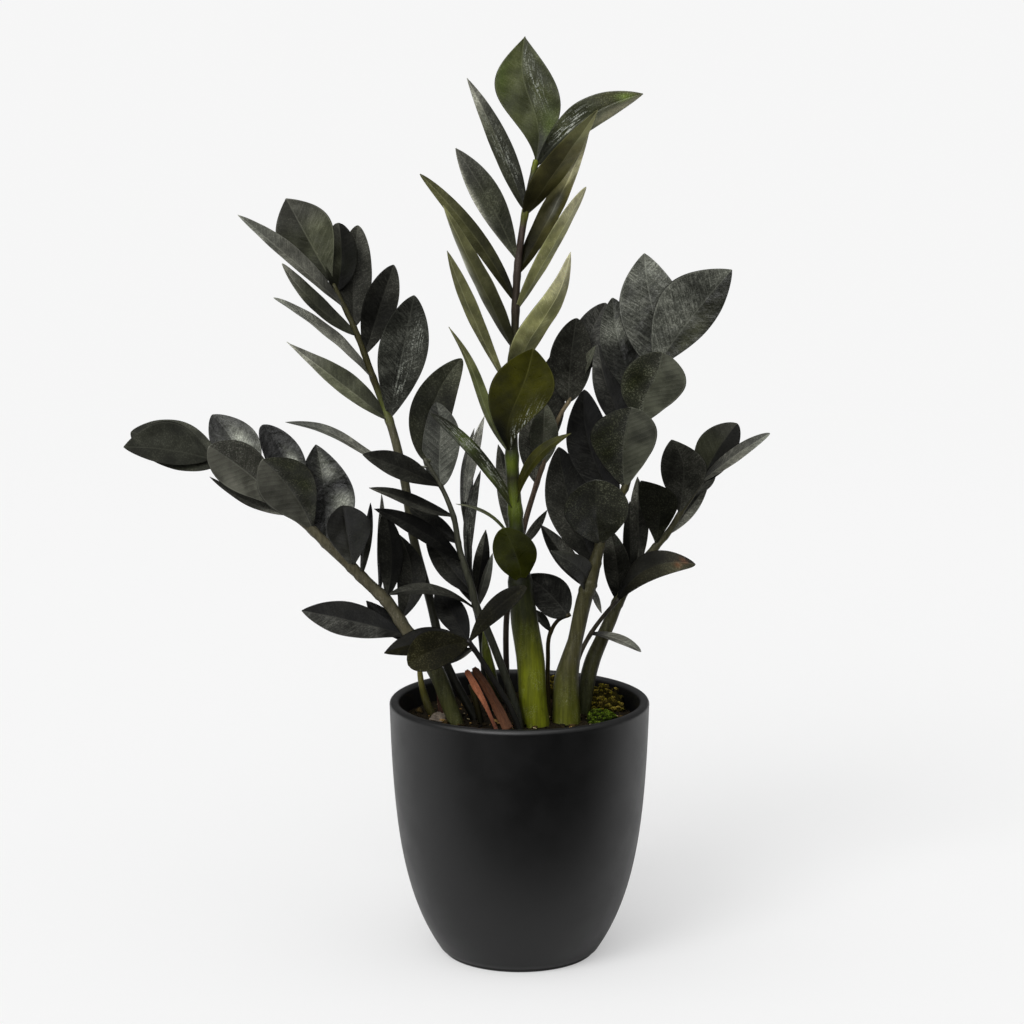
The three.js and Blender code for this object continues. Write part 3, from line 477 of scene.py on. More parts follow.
FRONDS["left_arching_frond"] = Stem(
    (-51, -10), 6.2,
    [
        (195, 60, 64, 20), (230, 48, 50, 18), (262, 80, 72, 42), (330, 85, 76, 46), (410, 130, 120, 80),
    ],
    [
        (-56, 203, -10, 6.4), (-67, 232, -9, 6.8), (-91, 267, -8, 4.9), (-106, 290, -8, 4.8),
        (-122, 306, -10, 4.6), (-138, 322, -12, 4.3), (-152, 335, -15, 4), (-168, 351, -18, 3.6),
        (-183, 363, -21, 3.2), (-203, 377, -25, 2.7), (-227, 393, -30, 2.2), (-247, 407, -34, 1.7),
    ],
    leaflet(406, (-315, 416, -46), 36, "dark", (2, 2, 2.5), (0.9, 1.1), turn=20, fold=5, sway=0.04,
        lean=0.3),
    leaflet(402, (-309, 428, -20), 43, "dark", (3.5, 3.5, 2.5), turn=25, fold=5, sway=0.03, blunt=0.65),
    leaflet(384, (-244, 442, 2), 38, "satin", (4, 5, 2.5), (0.6, 1.2), patches=RIGHT_SHEEN,
        sparks=SHEEN_SPARKS, sway=0.07, blunt=0.7),
    leaflet(360, (-204, 434, 6), 30, "satin", (1, 1, 0.3), (0.3, 1.3), patches=LOW_SHEEN,
        sparks=SHEEN_SPARKS, sway=0.1, blunt=0.55, widest=0.58),
    leaflet(338, (-162, 418, 6), 48, "satin", (1.2, 0.4, 2.5), (0.6, 1.3), patches=HIGH_SHEEN, sway=0.04,
        widest=0.42),
    leaflet(364, (-247, 417, -68), 38, "two_tone", (12, 13, 8), (1.3, 0.7), fold=12, sway=0.03, widest=0.68,
        blunt=0.55),
    leaflet(361, (-247, 392, -40), 16, "black", (10, 4, 2.5), (1.3, 0.8), turn=60, sway=-0.07),
    leaflet(348, (-205, 406, -64), 44, "two_tone", (7.5, 6.5, 7), (1.6, 0.5), patches=MOSSY_HALF,
        widest=0.64, blunt=0.67, sway=0.05),
    leaflet(318, (-141, 369, -60), 36, "two_tone", (4, 2, 1), (1.7, 0.3), patches=DARK_HALF, veins=1.5,
        fleck=(0, 1), widest=0.68, blunt=0.55, lean=0.1),
    leaflet(311, (-119, 371, -22), 16, "black", (6, 5, 0.5), turn=60),
    leaflet(297, (-110, 378, 8), 18, "black", (1, 4, 14), turn=65),
    leaflet(291, (-108, 366, -24), 22, "black", (1.3, 0.6, 0.8), (1.4, 0.4), turn=-20, sway=0.06,
        widest=0.55),
    leaflet(275, (-96, 345, 10), 24, "black", (1, 2.5, 2), (1.3, 0.7), sway=0.14, widest=0.5),
    leaflet(262, (-175, 283, 2), 31, "night", (0.7, 2.5, 3), (1.6, 0.3), turn=25, sway=0.01, widest=0.58),
    leaflet(256, (-123, 291, 16), 18, "black", (0.3, 0.3, 0.3), turn=20, sway=-0.04),
)

FRONDS["inner_left_frond"] = Stem(
    (0, -26), 3.2,
    [
        (195, 16, 17, 12), (300, 30, 31, 20), (420, 48, 48, 32),
    ],
    [
        (-2, 200, -26, 3.2), (-9, 222, -27, 3.2), (-26, 267, -28, 3.1), (-34, 284, -28, 3),
        (-39, 304, -28, 2.8), (-48, 333, -27, 2.4), (-52, 357, -25, 2.2), (-57, 372, -24, 2),
        (-63, 385, -22, 1.8), (-76, 407, -18, 1.5),
    ],
    leaflet(400, (-186, 436, -2), 15, "grey", (8, 11, 6), turn=60, sway=-0.02, widest=0.65, wave=-0.04),
    leaflet(384, (-125, 410, -36), 26, "black", (1, 1.3, 1.7), (1.2, 0.8), turn=40, sway=0.02, widest=0.56),
    leaflet(360, (-120, 383, -42), 16, "black", (1.5, 1.5, 3.5), (1.5, 0.5), turn=45, fold=15, wave=-0.01),
    leaflet(322, (-116, 366, -48), 19, "night", (0.3, 0.6, 0.7), (1.4, 0.5), turn=35, sway=0.05,
        widest=0.52),
    leaflet(338, (-88, 367, -4), 18, "black", (0.3, 0.4, 2.5), turn=30),
    leaflet(296, (-75, 343, -8), 22, "black", (0.3, 1.5, 1), turn=10),
    leaflet(287, (-56, 327, -4), 16, "black", (0.5, 1, 1), turn=30),
    leaflet(283, (-105, 296, -58), 16, "black", (0.5, 2.5, 2), (0.8, 1.2), turn=60, sway=0.12, widest=0.62,
        blunt=0.65),
    leaflet(384, (-66, 452, -16), 31, "grey_back", (6, 7, 4), (1.5, 0.6), veins=1.7, turn=170, sway=0.02,
        wave=-0.02, blunt=0.6),
    leaflet(404, (-46, 487, 30), 34, "dull_green", (3, 1, 2.5), (0.8, 1.2), sway=-0.1, widest=0.42,
        blunt=0.6),
)

FRONDS["upright_frond"] = Stem(
    (-24, 18), 2.4,
    [
        (195, 12, 12, 10), (380, 18, 18, 14),
    ],
    [
        (-27, 215, 17, 2.4), (-31, 262, 12, 2.4), (-35, 285, 8, 2.3), (-39, 310, 4, 2), (-42, 335, 3, 1.8),
        (-44, 372, 3, 1.4),
    ],
    leaflet(368, (-28, 441, 2), 14, "night", (34, 42, 70), sparks=STRAP_SPARKS, turn=50, sway=-0.04),
    leaflet(350, (-36, 431, 12), 14, "night", (12, 16, 30), sparks=STRAP_SPARKS, turn=55, sway=-0.06),
    leaflet(322, (-31, 397, 0), 15, "night", (9, 9, 13), sparks=STRAP_SPARKS, turn=50, sway=-0.06),
    leaflet(300, (-37, 390, 20), 14, "black", (3, 3, 3), sparks=STRAP_SPARKS, turn=60, sway=-0.06),
    leaflet(290, (-27, 349, 16), 14, "black", (1.5, 1, 6), (1.6, 0.2), turn=20),
    leaflet(284, (-21.5, 330, -6), 12, "grey", (30, 34, 18), turn=130),
)

FRONDS["front_left_shoot"] = Stem(
    (2, -54), 2.6,
    [
        (195, 5, 5, 4), (260, 6, 5, 4),
    ],
    [
        (-7, 202, -54, 2.6), (-14, 214, -54, 2.5), (-25, 233, -54, 2.3), (-33, 246, -54, 2.1),
        (-42, 259, -54, 1.9),
    ],
    leaflet(257, (-90, 238, -80), 32, "dull_brown", (0.5, 0.6, 1.1), turn=15, sway=0.07, widest=0.6,
        blunt=0.5),
    leaflet(252, (-64, 237, -58), 16, "black", (2.5, 4, 4), turn=60),
    leaflet(256, (-109, 248, -52), 26, "dull_brown", (0.4, 0.3, 0.4), (1.5, 0.5), turn=30, sway=0.07),
    leaflet(257, (6, 303, -54), 18, "dull_brown", (0.5, 0.3, 0.5), turn=-20, sway=-0.06, widest=0.6,
        blunt=0.6),
    leaflet(258, (-67, 302, -16), 23, "night", (0.4, 0.5, 0.6), (1.5, 0.5), turn=10),
)

FRONDS["front_right_frond"] = Stem(
    (38, -3), 11.6,
    [
        (195, 78, 86, 8), (222, 68, 70, 14), (245, 62, 58, 24), (330, 46, 42, 18), (410, 50, 46, 18),
        (480, 180, 170, 80),
    ],
    [
        (38, 226, -4, 10), (41, 242, -5, 8), (45, 259, -5, 6), (52, 292, -6, 6.4), (57, 308, -7, 5.8),
        (61, 324, -8, 4.8), (66, 341, -8, 3.8), (74, 365, -8, 3.2), (85, 385, -7, 2.9), (90, 410, -5, 2.7),
        (100, 442, -2, 2.4), (107, 482, 3, 1.8),
    ],
    leaflet(480, (98, 570, 16), 54, "satin", (5, 7.5, 10), patches=TOP_SHEEN, sway=0.03, widest=0.46,
        wave=0.02),
    leaflet(478, (167, 557, -8), 48, "satin", (6, 5.5, 6.5), (1.7, 0.3), patches=SIDE_SHEEN,
        film=(0.8, 0.1), fleck=(0.3, 0), turn=-5, sway=-0.02, lean=-0.3, widest=0.55),
    leaflet(445, (73, 535, 18), 34, "satin", (1.5, 1.5, 4.5), patches=BAND_SHEEN, turn=20, sway=-0.06,
        widest=0.6, blunt=0.7),
    leaflet(420, (62, 498, 22), 24, "night", (0.5, 1, 4), (1.6, 0.5), turn=15, sway=-0.07, blunt=0.7),
    leaflet(436, (113, 492, -42), 50, "speckled", (9, 9, 9), (0.8, 1.3), patches=MOSSY_LEFT, widest=0.63,
        blunt=0.5, sway=-0.03, wave=-0.03),
    leaflet(383, (89, 448, -46), 53, "speckled", (7, 6, 6), (0.5, 1.5), patches=DARK_LEFT, widest=0.68,
        blunt=0.5, sway=-0.05, lean=-0.04),
    leaflet(337, (61, 390, -48), 52, "speckled", (2.5, 2, 2), (0.8, 1.2), hues=(GREEN, GREEN), fleck=1,
        veins=0.3, widest=0.68, blunt=0.5, bow=0.08, sway=-0.02),
    leaflet(299, (25, 332, -42), 19, "speckled", (0.8, 1.5, 4), (0.7, 1.3), turn=20, sway=0.12, widest=0.4,
        wave=0.03),
    leaflet(322, (31, 416, 16), 40, "black", (0.5, 2, 1.5), (1.3, 0.5), turn=10, sway=-0.05, blunt=0.7),
    leaflet(372, (51, 462, 18), 37, "night", (0.7, 0.7, 0.4), (1.2, 0.5), turn=5, sway=-0.09, blunt=0.68),
    leaflet(301, (17, 353, 10), 18, "black", (2, 3, 1.5), (0.4, 1.5), turn=20),
    leaflet(305, (66, 281, 8), 8, "black", (5, 7, 15), turn=-50),
)

FRONDS["low_right_frond"] = Stem(
    (52, 25), 6,
    [
        (195, 26, 30, 10), (260, 52, 50, 20), (330, 60, 56, 26), (390, 60, 56, 30),
    ],
    [
        (55, 226, 26, 6.6), (59, 242, 28, 6.4), (66, 259, 30, 5.6), (73, 275, 32, 5.2), (80, 292, 35, 4.6),
        (97, 320, 40, 3.6), (108, 334, 43, 3.1), (119, 347, 46, 2.7), (130, 365, 50, 2.3),
        (147, 391, 56, 1.6),
    ],
    leaflet(388, (199, 427, 44), 16, "grey", (5, 8, 9), (0.6, 1.6), turn=-45, sway=-0.02, blunt=0.55),
    leaflet(389, (173, 435, 66), 33, "green", (1.5, 2, 3), (1.6, 0.2), finish=DULL, blunt=0.6, sway=-0.05,
        lean=-0.08),
    leaflet(361, (121, 422, 30), 38, "black", (4, 2.5, 3.5), (0.8, 1.2), sway=0.1, widest=0.62, wave=-0.02),
    leaflet(376, (156, 398, 78), 12, "black", (5, 6, 5), turn=-30, sway=0.05),
    leaflet(335, (97, 389, 22), 31, "dull_green", (2, 1, 1), widest=0.64, sway=0.15, wave=-0.03),
    leaflet(318, (94, 392, 60), 18, "black", (5, 4, 9), (1.3, 0.7), turn=25),
    leaflet(344, (151, 389, 74), 12, "black", (8, 8, 10), (0.4, 1.6), sway=0.03),
    leaflet(290, (72, 350, 26), 22, "black", (0.6, 2, 8), (1.3, 0.7), sway=0.04),
    leaflet(308, (88, 372, 40), 14, "black", (0.8, 1.3, 4), (0.6, 1.4), turn=20),
)

FRONDS["right_twig"] = Stem(
    (43, 17), 2,
    [
        (195, 40, 34, 22), (250, 70, 60, 40), (290, 20, 17, 12),
    ],
    [
        (43, 220, 17, 2), (48, 245, 17, 2), (58, 265, 17, 1.8), (68, 279, 15, 1.7), (80, 293, 13, 1.6),
    ],
    leaflet(264, (98, 249, 2), 15, "grey", (1, 14, 13), (1.2, 0.8), turn=-60, sway=-0.07, blunt=0.55),
    leaflet(291, (141, 321, 4), 26, "damaged", (0.3, 1, 3), (0.5, 1.3), patches=BURNS, turn=-30, sway=-0.18,
        widest=0.55, blunt=0.6),
)

FRONDS["back_centre_frond"] = Stem(
    (-9, 26), 2.4,
    [
        (195, 12, 9, 7), (330, 55, 42, 30), (380, 110, 75, 50), (450, 190, 150, 85), (480, 120, 110, 50),
    ],
    [
        (-10, 222, 27, 2.4), (-10, 281, 28, 2.4), (-1, 324, 30, 2.4), (4, 353, 31, 2.4), (12, 381, 32, 2.2),
        (24, 418, 34, 2), (31, 439, 36, 1.8), (42, 458, 38, 1.6), (49, 476, 40, 1.4),
    ],
    leaflet(452, (45, 519, 34), 35, "black", (4, 2, 3), (0.9, 1.1), sway=-0.02, blunt=0.6),
    leaflet(474, (68, 531, 50), 28, "night", (4, 4.5, 3.5), sway=-0.05, blunt=0.6),
    leaflet(470, (60, 497, 27), 10, "dark", (6, 6, 7), turn=-40),
    leaflet(400, (20, 452, 22), 24, "dark", (10, 7, 10), (0.8, 1.2), turn=10),
    leaflet(386, (8, 448, 44), 24, "black", (8, 4, 12), (0.9, 1.1)),
    leaflet(415, (24, 488, 46), 26, "black", (2, 2, 2)),
    leaflet(334, (22, 365, 24), 9, "black", (8, 10, 6), turn=30),
    leaflet(330, (-17, 418, 24), 18, "black", (15, 9, 5), (1.3, 0.8), turn=10),
)

FRONDS["centre_shoot"] = Stem(
    (25, 14), 1.8,
    [
        (195, 32, 24, 8), (280, 26, 20, 6),
    ],
    [
        (23, 219, 14, 1.8), (23, 242, 14, 1.8), (24, 262, 13, 1.7), (31, 275, 12, 1.6), (41, 280, 11, 1.6),
    ],
    leaflet(279, (5, 312, 10), 32, "night", (2.5, 2.5, 1.5), (1.2, 0.8), turn=10, sway=0.05, widest=0.43,
        blunt=0.7),
    leaflet(266, (11, 284, 12), 12, "black", (1, 1.5, 6), turn=50),
)

SHOOTS = {}

SHOOTS["young_shoot"] = Stem(
    (-70, 14), 3.6,
    [
        (195, 30, 26, 7), (215, 60, 56, 12), (232, 150, 130, 30), (255, 200, 180, 110),
    ],
    [
        (-74, 205, 14, 3.6), (-79, 222, 14, 2.6), (-81, 240, 13, 1.9), (-82, 252, 12, 0.7),
    ],
)

SHOOTS["green_spear"] = Stem(
    (-14, 3), 3,
    [
        (195, 4, 4, 2), (222, 10, 12, 3), (240, 80, 96, 10), (268, 110, 125, 20),
    ],
    [
        (-18, 212, 2, 3.6), (-23, 232, 1, 4.4), (-27, 250, 0, 3.8), (-29, 266, 0, 0.7),
    ],
)

SHOOTS["short_stub"] = Stem(
    (-31, -8), 2.6,
    [
        (195, 4, 4, 1), (208, 14, 11, 2), (225, 36, 30, 6),
    ],
    [
        (-34, 203, -8, 2.6), (-39, 222, -8, 2.3),
    ],
)

# Leaflets.

# Where the columns of points lie, from the midrib (0) to the edge (1), on leaflets over a width.
COLUMNS = {
    33: (0, 0.05, 0.16, 0.3, 0.45, 0.6, 0.74, 0.86, 0.95, 0.99, 1),
    18: (0, 0.08, 0.26, 0.5, 0.72, 0.9, 0.98, 1),
    0: (0, 0.12, 0.45, 0.8, 0.97, 1),
}
PAINTED_SHEEN_SPAN = (-0.05, 0.2), (0.85, 1.1)  # shares of the length over which painted sheen sets in and ends


def half_width(s, leaf):
    swell = s ** (math.log(0.5) / math.log(leaf["widest"]))
    blade = leaf["wide"] / 2 * np.maximum(np.sin(np.pi * swell), 0) ** leaf["blunt"]
    return np.maximum(blade, np.where(s < 0.5, STALK_HALF_WIDTH, TIP_HALF_WIDTH))


def by_half(pair, q):
    """A value that changes at the midrib."""
    minus, plus = np.broadcast_to(pair, 2)
    return minus + (plus - minus) * smooth(-0.08, 0.08, q)


def near(s, q, spot, reach):
    """How near points lie to a spot on the blade, from 0 to 1 at the spot itself."""
    return np.exp(-(((s - spot[0]) / reach[0]) ** 2) - ((q - spot[1]) / reach[1]) ** 2)


def tint_of(leaf, s, q, upper):
    hidden = upper == leaf["backed"]
    base, middle, tip = leaf["tones"]
    halves = by_half(leaf["halves"], q)
    if hidden:
        base, middle, tip = HIDDEN_FACE if upper else HIDDEN_BACK
        halves = 1
    at_tip = smooth(*leaf["tip_span"], s)
    tone = base + (middle - base) * smooth(0.12, 0.42, s)
    tone = tone + (tip - tone) * at_tip
    colour = blend(*leaf["hues"], at_tip) * (0.01 * tone * halves)[..., None]
    for spot, reach, hue, patch_tone in () if hidden else leaf["patches"]:
        colour = blend(colour, np.array(hue) * 0.01 * patch_tone, near(s, q, spot, reach))
    return colour


def build_leaflet(shape, draw, stem, leaf):
    root, tip, wide = stem.route.at(stem.share(leaf["start"])), seen(leaf["tip"]), leaf["wide"]
    length = np.linalg.norm(tip - root)
    along = (tip - root) / length
    to_eye = EYE - (root + tip) / 2
    to_eye = unit(to_eye - along * to_eye.dot(along))
    right = np.cross(along, to_eye)
    turn, fold = math.radians(leaf["turn"]), math.radians(leaf["fold"])
    face = to_eye * math.cos(turn) + right * math.sin(turn)
    side = np.cross(along, face)

    # Rows lie closer towards both ends.
    even = np.linspace(0, 1, max(int(length / ROW_STEP), 10) + 1)
    rows = 0.35 * even + 0.65 * (1 - np.cos(np.pi * even)) / 2
    half = next(columns for width, columns in COLUMNS.items() if wide > width)
    s, q = np.meshgrid(rows, [-share for share in half[:0:-1]] + list(half), indexing="ij")
    reach = q * half_width(s, leaf) * (1 + q * leaf["lean"])
    away = np.abs(reach)
    arch = 4 * s * (1 - s)
    sideways = (leaf["sway"] * arch + leaf["wave"] * np.sin(2 * np.pi * s)) * length

    # The unevenness of each blade starts at phases of its own.
    phase, other, third = draw.uniform(0, 2 * np.pi, 3)
    ruffle = RUFFLE * np.abs(q) ** 3 * np.sin(5.2 * s + phase + 2.2 * np.sign(q))
    dimple = DIMPLE * np.sin(0.21 * s * length + third) * np.cos(0.3 * reach + other)
    sag = SAG * (np.abs(q) ** 2.2 - np.abs(q))
    lift = away * math.sin(fold) + (ruffle + dimple + sag) * wide * arch
    # Side veins are unevenly spaced, and the two halves' alternate.
    vein = (s * length - VEIN_SLANT * away) / VEIN_SPACING
    vein = vein + 0.22 * np.sin(0.9 * vein + other) + 0.5 * (q > 0)
    swelling = CUSHION * wide * leaf["veins"] * (np.abs(np.sin(np.pi * vein)) - 0.6)
    swelling = swelling * smooth(0.03, 0.25, np.abs(q)) * (1 - q**4) * np.minimum(arch * 2, 1)

    # A blade is thicker towards its stalk and thins out at its edges and tip.
    thick = BLADE_THICK * (0.75 + 1.3 * np.exp(-s * length / 5))
    thick = thick * np.sqrt(np.maximum(1 - np.abs(q) ** 8, 0)) * np.sqrt(np.maximum(1 - s**24, 0))
    groove = GROOVE * np.exp(-((away / 0.8) ** 2)) * np.minimum(arch * 2, 1)
    keel = KEEL * np.exp(-((away / 1.1) ** 2)) * (1 - s) ** 0.6 * np.minimum(arch * 3, 1)

    def steps(amount, way):
        return amount[..., None] * way

    middle = root + steps(s * length, along) + steps(leaf["bow"] * arch * length, to_eye)
    middle = middle + steps(sideways, right) + steps(reach * math.cos(fold), side) + steps(lift, face)
    top = middle + steps(thick / 2 + swelling - groove, face)
    under = middle - steps(thick / 2 - 0.6 * swelling + keel, face)

    # The two faces share their points along the edges and at the tip.
    joined = ((np.abs(q) == 1) | (s == 1)).ravel()
    below = np.where(joined, np.arange(s.size), s.size - 1 + np.cumsum(~joined))
    faces = []
    for quad in grid_faces(*s.shape):
        faces += [quad, below[quad[::-1]]]
    slots = [leaf["finish"], BACK] * (len(faces) // 2)
    for c in range(s.shape[1] - 1):
        faces.append(dict.fromkeys((c + 1, c, int(below[c]), int(below[c + 1]))))
        slots.append(leaf["finish"])

    def both(upper, lower):
        return np.concatenate([upper.reshape(-1, 3), lower.reshape(-1, 3)[~joined]])

    film = by_half(leaf["film"], q) * smooth(*PAINTED_SHEEN_SPAN[0], s) * (1 - smooth(*PAINTED_SHEEN_SPAN[1], s))
    # Painted glints: silver highlights near given spots on the blade.
    sparks = [amount * near(s, q, spot, reach) for spot, reach, amount in leaf["sparks"]]
    place = np.stack([q, sum(sparks, 0 * s), away], -1)
    grain = np.stack([vein, by_half(leaf["fleck"], q), film], -1)
    tints = both(tint_of(leaf, s, q, True), tint_of(leaf, s, q, False))
    faint = grain * HIDDEN_GRAIN
    grains = both(faint, grain) if leaf["backed"] else both(grain, faint)
    shape.add(both(top, under), faces, tints, both(place, place), grains, slots, leaf["veins"])


# The pot, and what stands in and lies on the potting mix.

POT_TINT = (0.0018, 0.0018, 0.0019)


def wall_radius(z):
    share = (1 - math.exp(-z / POT_SWELL)) / (1 - math.exp(-POT_HEIGHT / POT_SWELL))
    return POT_FOOT_RADIUS + (POT_RIM_RADIUS - POT_FOOT_RADIUS) * share


def arc(cx, cz, radius, start, end, steps):
    angles = np.radians(np.linspace(start, end, steps + 1))
    return [(cx + radius * math.cos(a), cz + radius * math.sin(a)) for a in angles]


def build_pot(shape):
    """A closed body, turned about the upright axis from a profile of (radius, height) points."""
    shoulder = POT_HEIGHT - RIM_ROUND
    inner = POT_RIM_RADIUS - POT_WALL
    heights = np.linspace(FOOT_ROUND + 2, shoulder - 1, 64)
    profile = [
        (20, 0),
        (POT_FOOT_RADIUS - FOOT_ROUND - 6, 0),
        *arc(POT_FOOT_RADIUS - FOOT_ROUND, FOOT_ROUND, FOOT_ROUND, -90, 0, 6),
        *[(wall_radius(z), z) for z in heights],
        *arc(POT_RIM_RADIUS - RIM_ROUND, shoulder, RIM_ROUND, 0, 90, 8),
        *arc(inner + RIM_ROUND, shoulder, RIM_ROUND, 90, 180, 8),
        *[(wall_radius(z) - POT_WALL, z) for z in heights[::-2] if z > POT_FLOOR + 2],
        (wall_radius(POT_FLOOR) - POT_WALL, POT_FLOOR),
        (20, POT_FLOOR),
    ]
    points = [(0, 0, 0)]
    for radius, height in profile:
        points += [(radius * x, radius * y, height) for x, y in circle(POT_SEGMENTS)]
    points.append((0, 0, POT_FLOOR))
    faces = grid_faces(len(profile), POT_SEGMENTS, first=1, closed=True)
    last = len(points) - 1 - POT_SEGMENTS
    for k in range(POT_SEGMENTS):
        after = (k + 1) % POT_SEGMENTS
        faces += [[0, 1 + after, 1 + k], [len(points) - 1, last + k, last + after]]
    shape.add(points, faces, POT_TINT)


def spot_in_circle(draw):
    """A random place in a circle of radius 1."""
    out, angle = draw.uniform() ** 0.5, draw.uniform(0, 2 * np.pi)
    return np.array(turned(out, 0, angle))


def unevenness(x, y, scale, level=3.1):
    return noise.noise(Vector((x * scale, y * scale, level)))


def icosahedron():
    golden = (1 + 5**0.5) / 2
    corners = []
    for a in (-1, 1):
        for b in (-golden, golden):
            corners += [(0, a, b), (a, b, 0), (b, 0, a)]
    corners = np.array(corners) / math.hypot(1, golden)
    longest_edge = 1.06
    faces = []
    for i in range(12):
        for j in range(i + 1, 12):
            for k in range(j + 1, 12):
                a, b, c = corners[[i, j, k]]
                if max(math.dist(a, b), math.dist(b, c), math.dist(c, a)) < longest_edge:
                    outward = np.cross(b - a, c - a).dot(a + b + c) > 0
                    faces.append((i, j, k) if outward else (i, k, j))
    return corners, faces


CORNERS, TRIANGLES = icosahedron()

SIDE_GAP = 0.3  # what the mix's flat-sided plug keeps clear of the round wall
CRUMB_COUNT = 900
DARK_CRUMB, BROWN_CRUMB = (0.009, 0.007, 0.004), (0.020, 0.014, 0.006)
CRUMBS = {  # how likely a crumb of each tint is
    BROWN_CRUMB: 0.26,
    DARK_CRUMB: 0.27,
    (0.060, 0.040, 0.014): 0.2,
    (0.300, 0.180, 0.060): 0.13,
    (0.005, 0.004, 0.003): 0.08,
    (0.500, 0.420, 0.240): 0.06,
}


def add_crumb(shape, draw, centre, size, tint):
    """An angular bit of bark or grit, longer than wide and mostly lying flat."""
    squash = np.array([1, draw.uniform(0.45, 0.85), draw.uniform(0.25, 0.5)])
    heading, tilt = draw.uniform(0, 2 * np.pi), draw.uniform(-0.5, 0.5)
    x, y, z = (CORNERS * draw.uniform(0.75, 1.2, (12, 1)) * squash * size).T
    x, z = turned(x, z, tilt)
    x, y = turned(x, y, heading)
    shape.add(np.stack([x, y, z], -1) + centre, TRIANGLES, tint)


def build_mix(shape, draw):
    """A plug that fills the pot, uneven on top, with crumbs strewn over it."""
    around, reach = 96, wall_radius(MIX_TOP) - POT_WALL - GAP
    points, tints = [], []
    for z in (POT_FLOOR + GAP, 40, 90, 150):
        radius = wall_radius(z) - POT_WALL - GAP - SIDE_GAP
        points += [(radius * x, radius * y, z) for x, y in circle(around)]
        tints += [DARK_CRUMB] * around
    for radius in reach * np.linspace(1, 0.02, 40):
        for x, y in radius * circle(around):
            height = 1.3 * unevenness(x, y, 0.12) + 0.7 * unevenness(x, y, 0.45)
            points.append((x, y, MIX_TOP + float(smooth(0, 6, reach - radius)) * height))
            tints.append(blend(DARK_CRUMB, BROWN_CRUMB, 0.5 + unevenness(x, y, 0.3)))
    shape.add(points, tube_faces(len(points) // around, around), tints)
    for _ in range(CRUMB_COUNT):
        x, y = (reach - 2.5) * spot_in_circle(draw)
        size = 0.8 + 3.2 * draw.uniform() ** 3  # mostly small
        height = MIX_TOP + draw.uniform(0, 0.9) + 0.2 * size
        tint = list(CRUMBS)[draw.choice(len(CRUMBS), p=list(CRUMBS.values()))]
        add_crumb(shape, draw, (x, y, height), size, tint)


CHIPS = {
    "bark_chip_1": {"at": (-46, -34), "size": (13, 7, 3.2), "heading": 20},
    "bark_chip_2": {"at": (-26, -62), "size": (11, 6, 3), "heading": -35},
    "bark_chip_3": {"at": (22, 58), "size": (14, 8, 3.4), "heading": 50},
}
CHIP_TINT = np.array((0.110, 0.062, 0.032))


def build_chip(shape, draw, chip):
    """A shard of bark: a rounded slab whose upper face is split along its grain."""
    long, wide, high = chip["size"]
    rows, columns = 15, 9
    points, tints = [], []
    for upper in (True, False):
        for u in np.linspace(-1, 1, rows):
            for v in np.linspace(-1, 1, columns):
                x = long / 2 * u * (1 - 0.12 * v * v)
                y = wide / 2 * v * (1 - 0.5 * abs(u) ** 3) + 0.5 * math.sin(2.4 * u)
                edge = (1 - abs(u) ** 6) * (1 - abs(v) ** 6)
                grain = 0.5 * math.sin(9 * v + 1.4 * u) + draw.uniform(-0.2, 0.2)
                x, y = np.add(chip["at"], turned(x, y, math.radians(chip["heading"])))
                top = high * (0.72 + 0.12 * grain) * edge**0.4
                points.append((x, y, MIX_TOP + GAP + top * upper))
                tints.append(CHIP_TINT * (0.7 + 0.3 * grain))
    shape.add(points, flipped(slab_faces(rows, columns)), tints)


MOSS = {  # tints in thousandths
    "moss_right": {"at": (74, 48), "half": (22, 24), "high": 20, "tint": (110, 95, 8), "straw": 0.45},
    "moss_front": {"at": (66, -2), "half": (13, 17), "high": 10, "tint": (40, 68, 3), "straw": 0.1},
    "moss_back": {"at": (22, 80), "half": (17, 13), "high": 22, "tint": (110, 90, 8), "straw": 0.45},
}
MOSS_STRAW = (0.160, 0.105, 0.035)
CUSHION_PAINTED_SHADE = 0.15  # painted shade: how light the cushion under the tufts is painted, as it lies in their shade
TUFT_DENSITY = 0.34
TUFT_GRAINS = 24


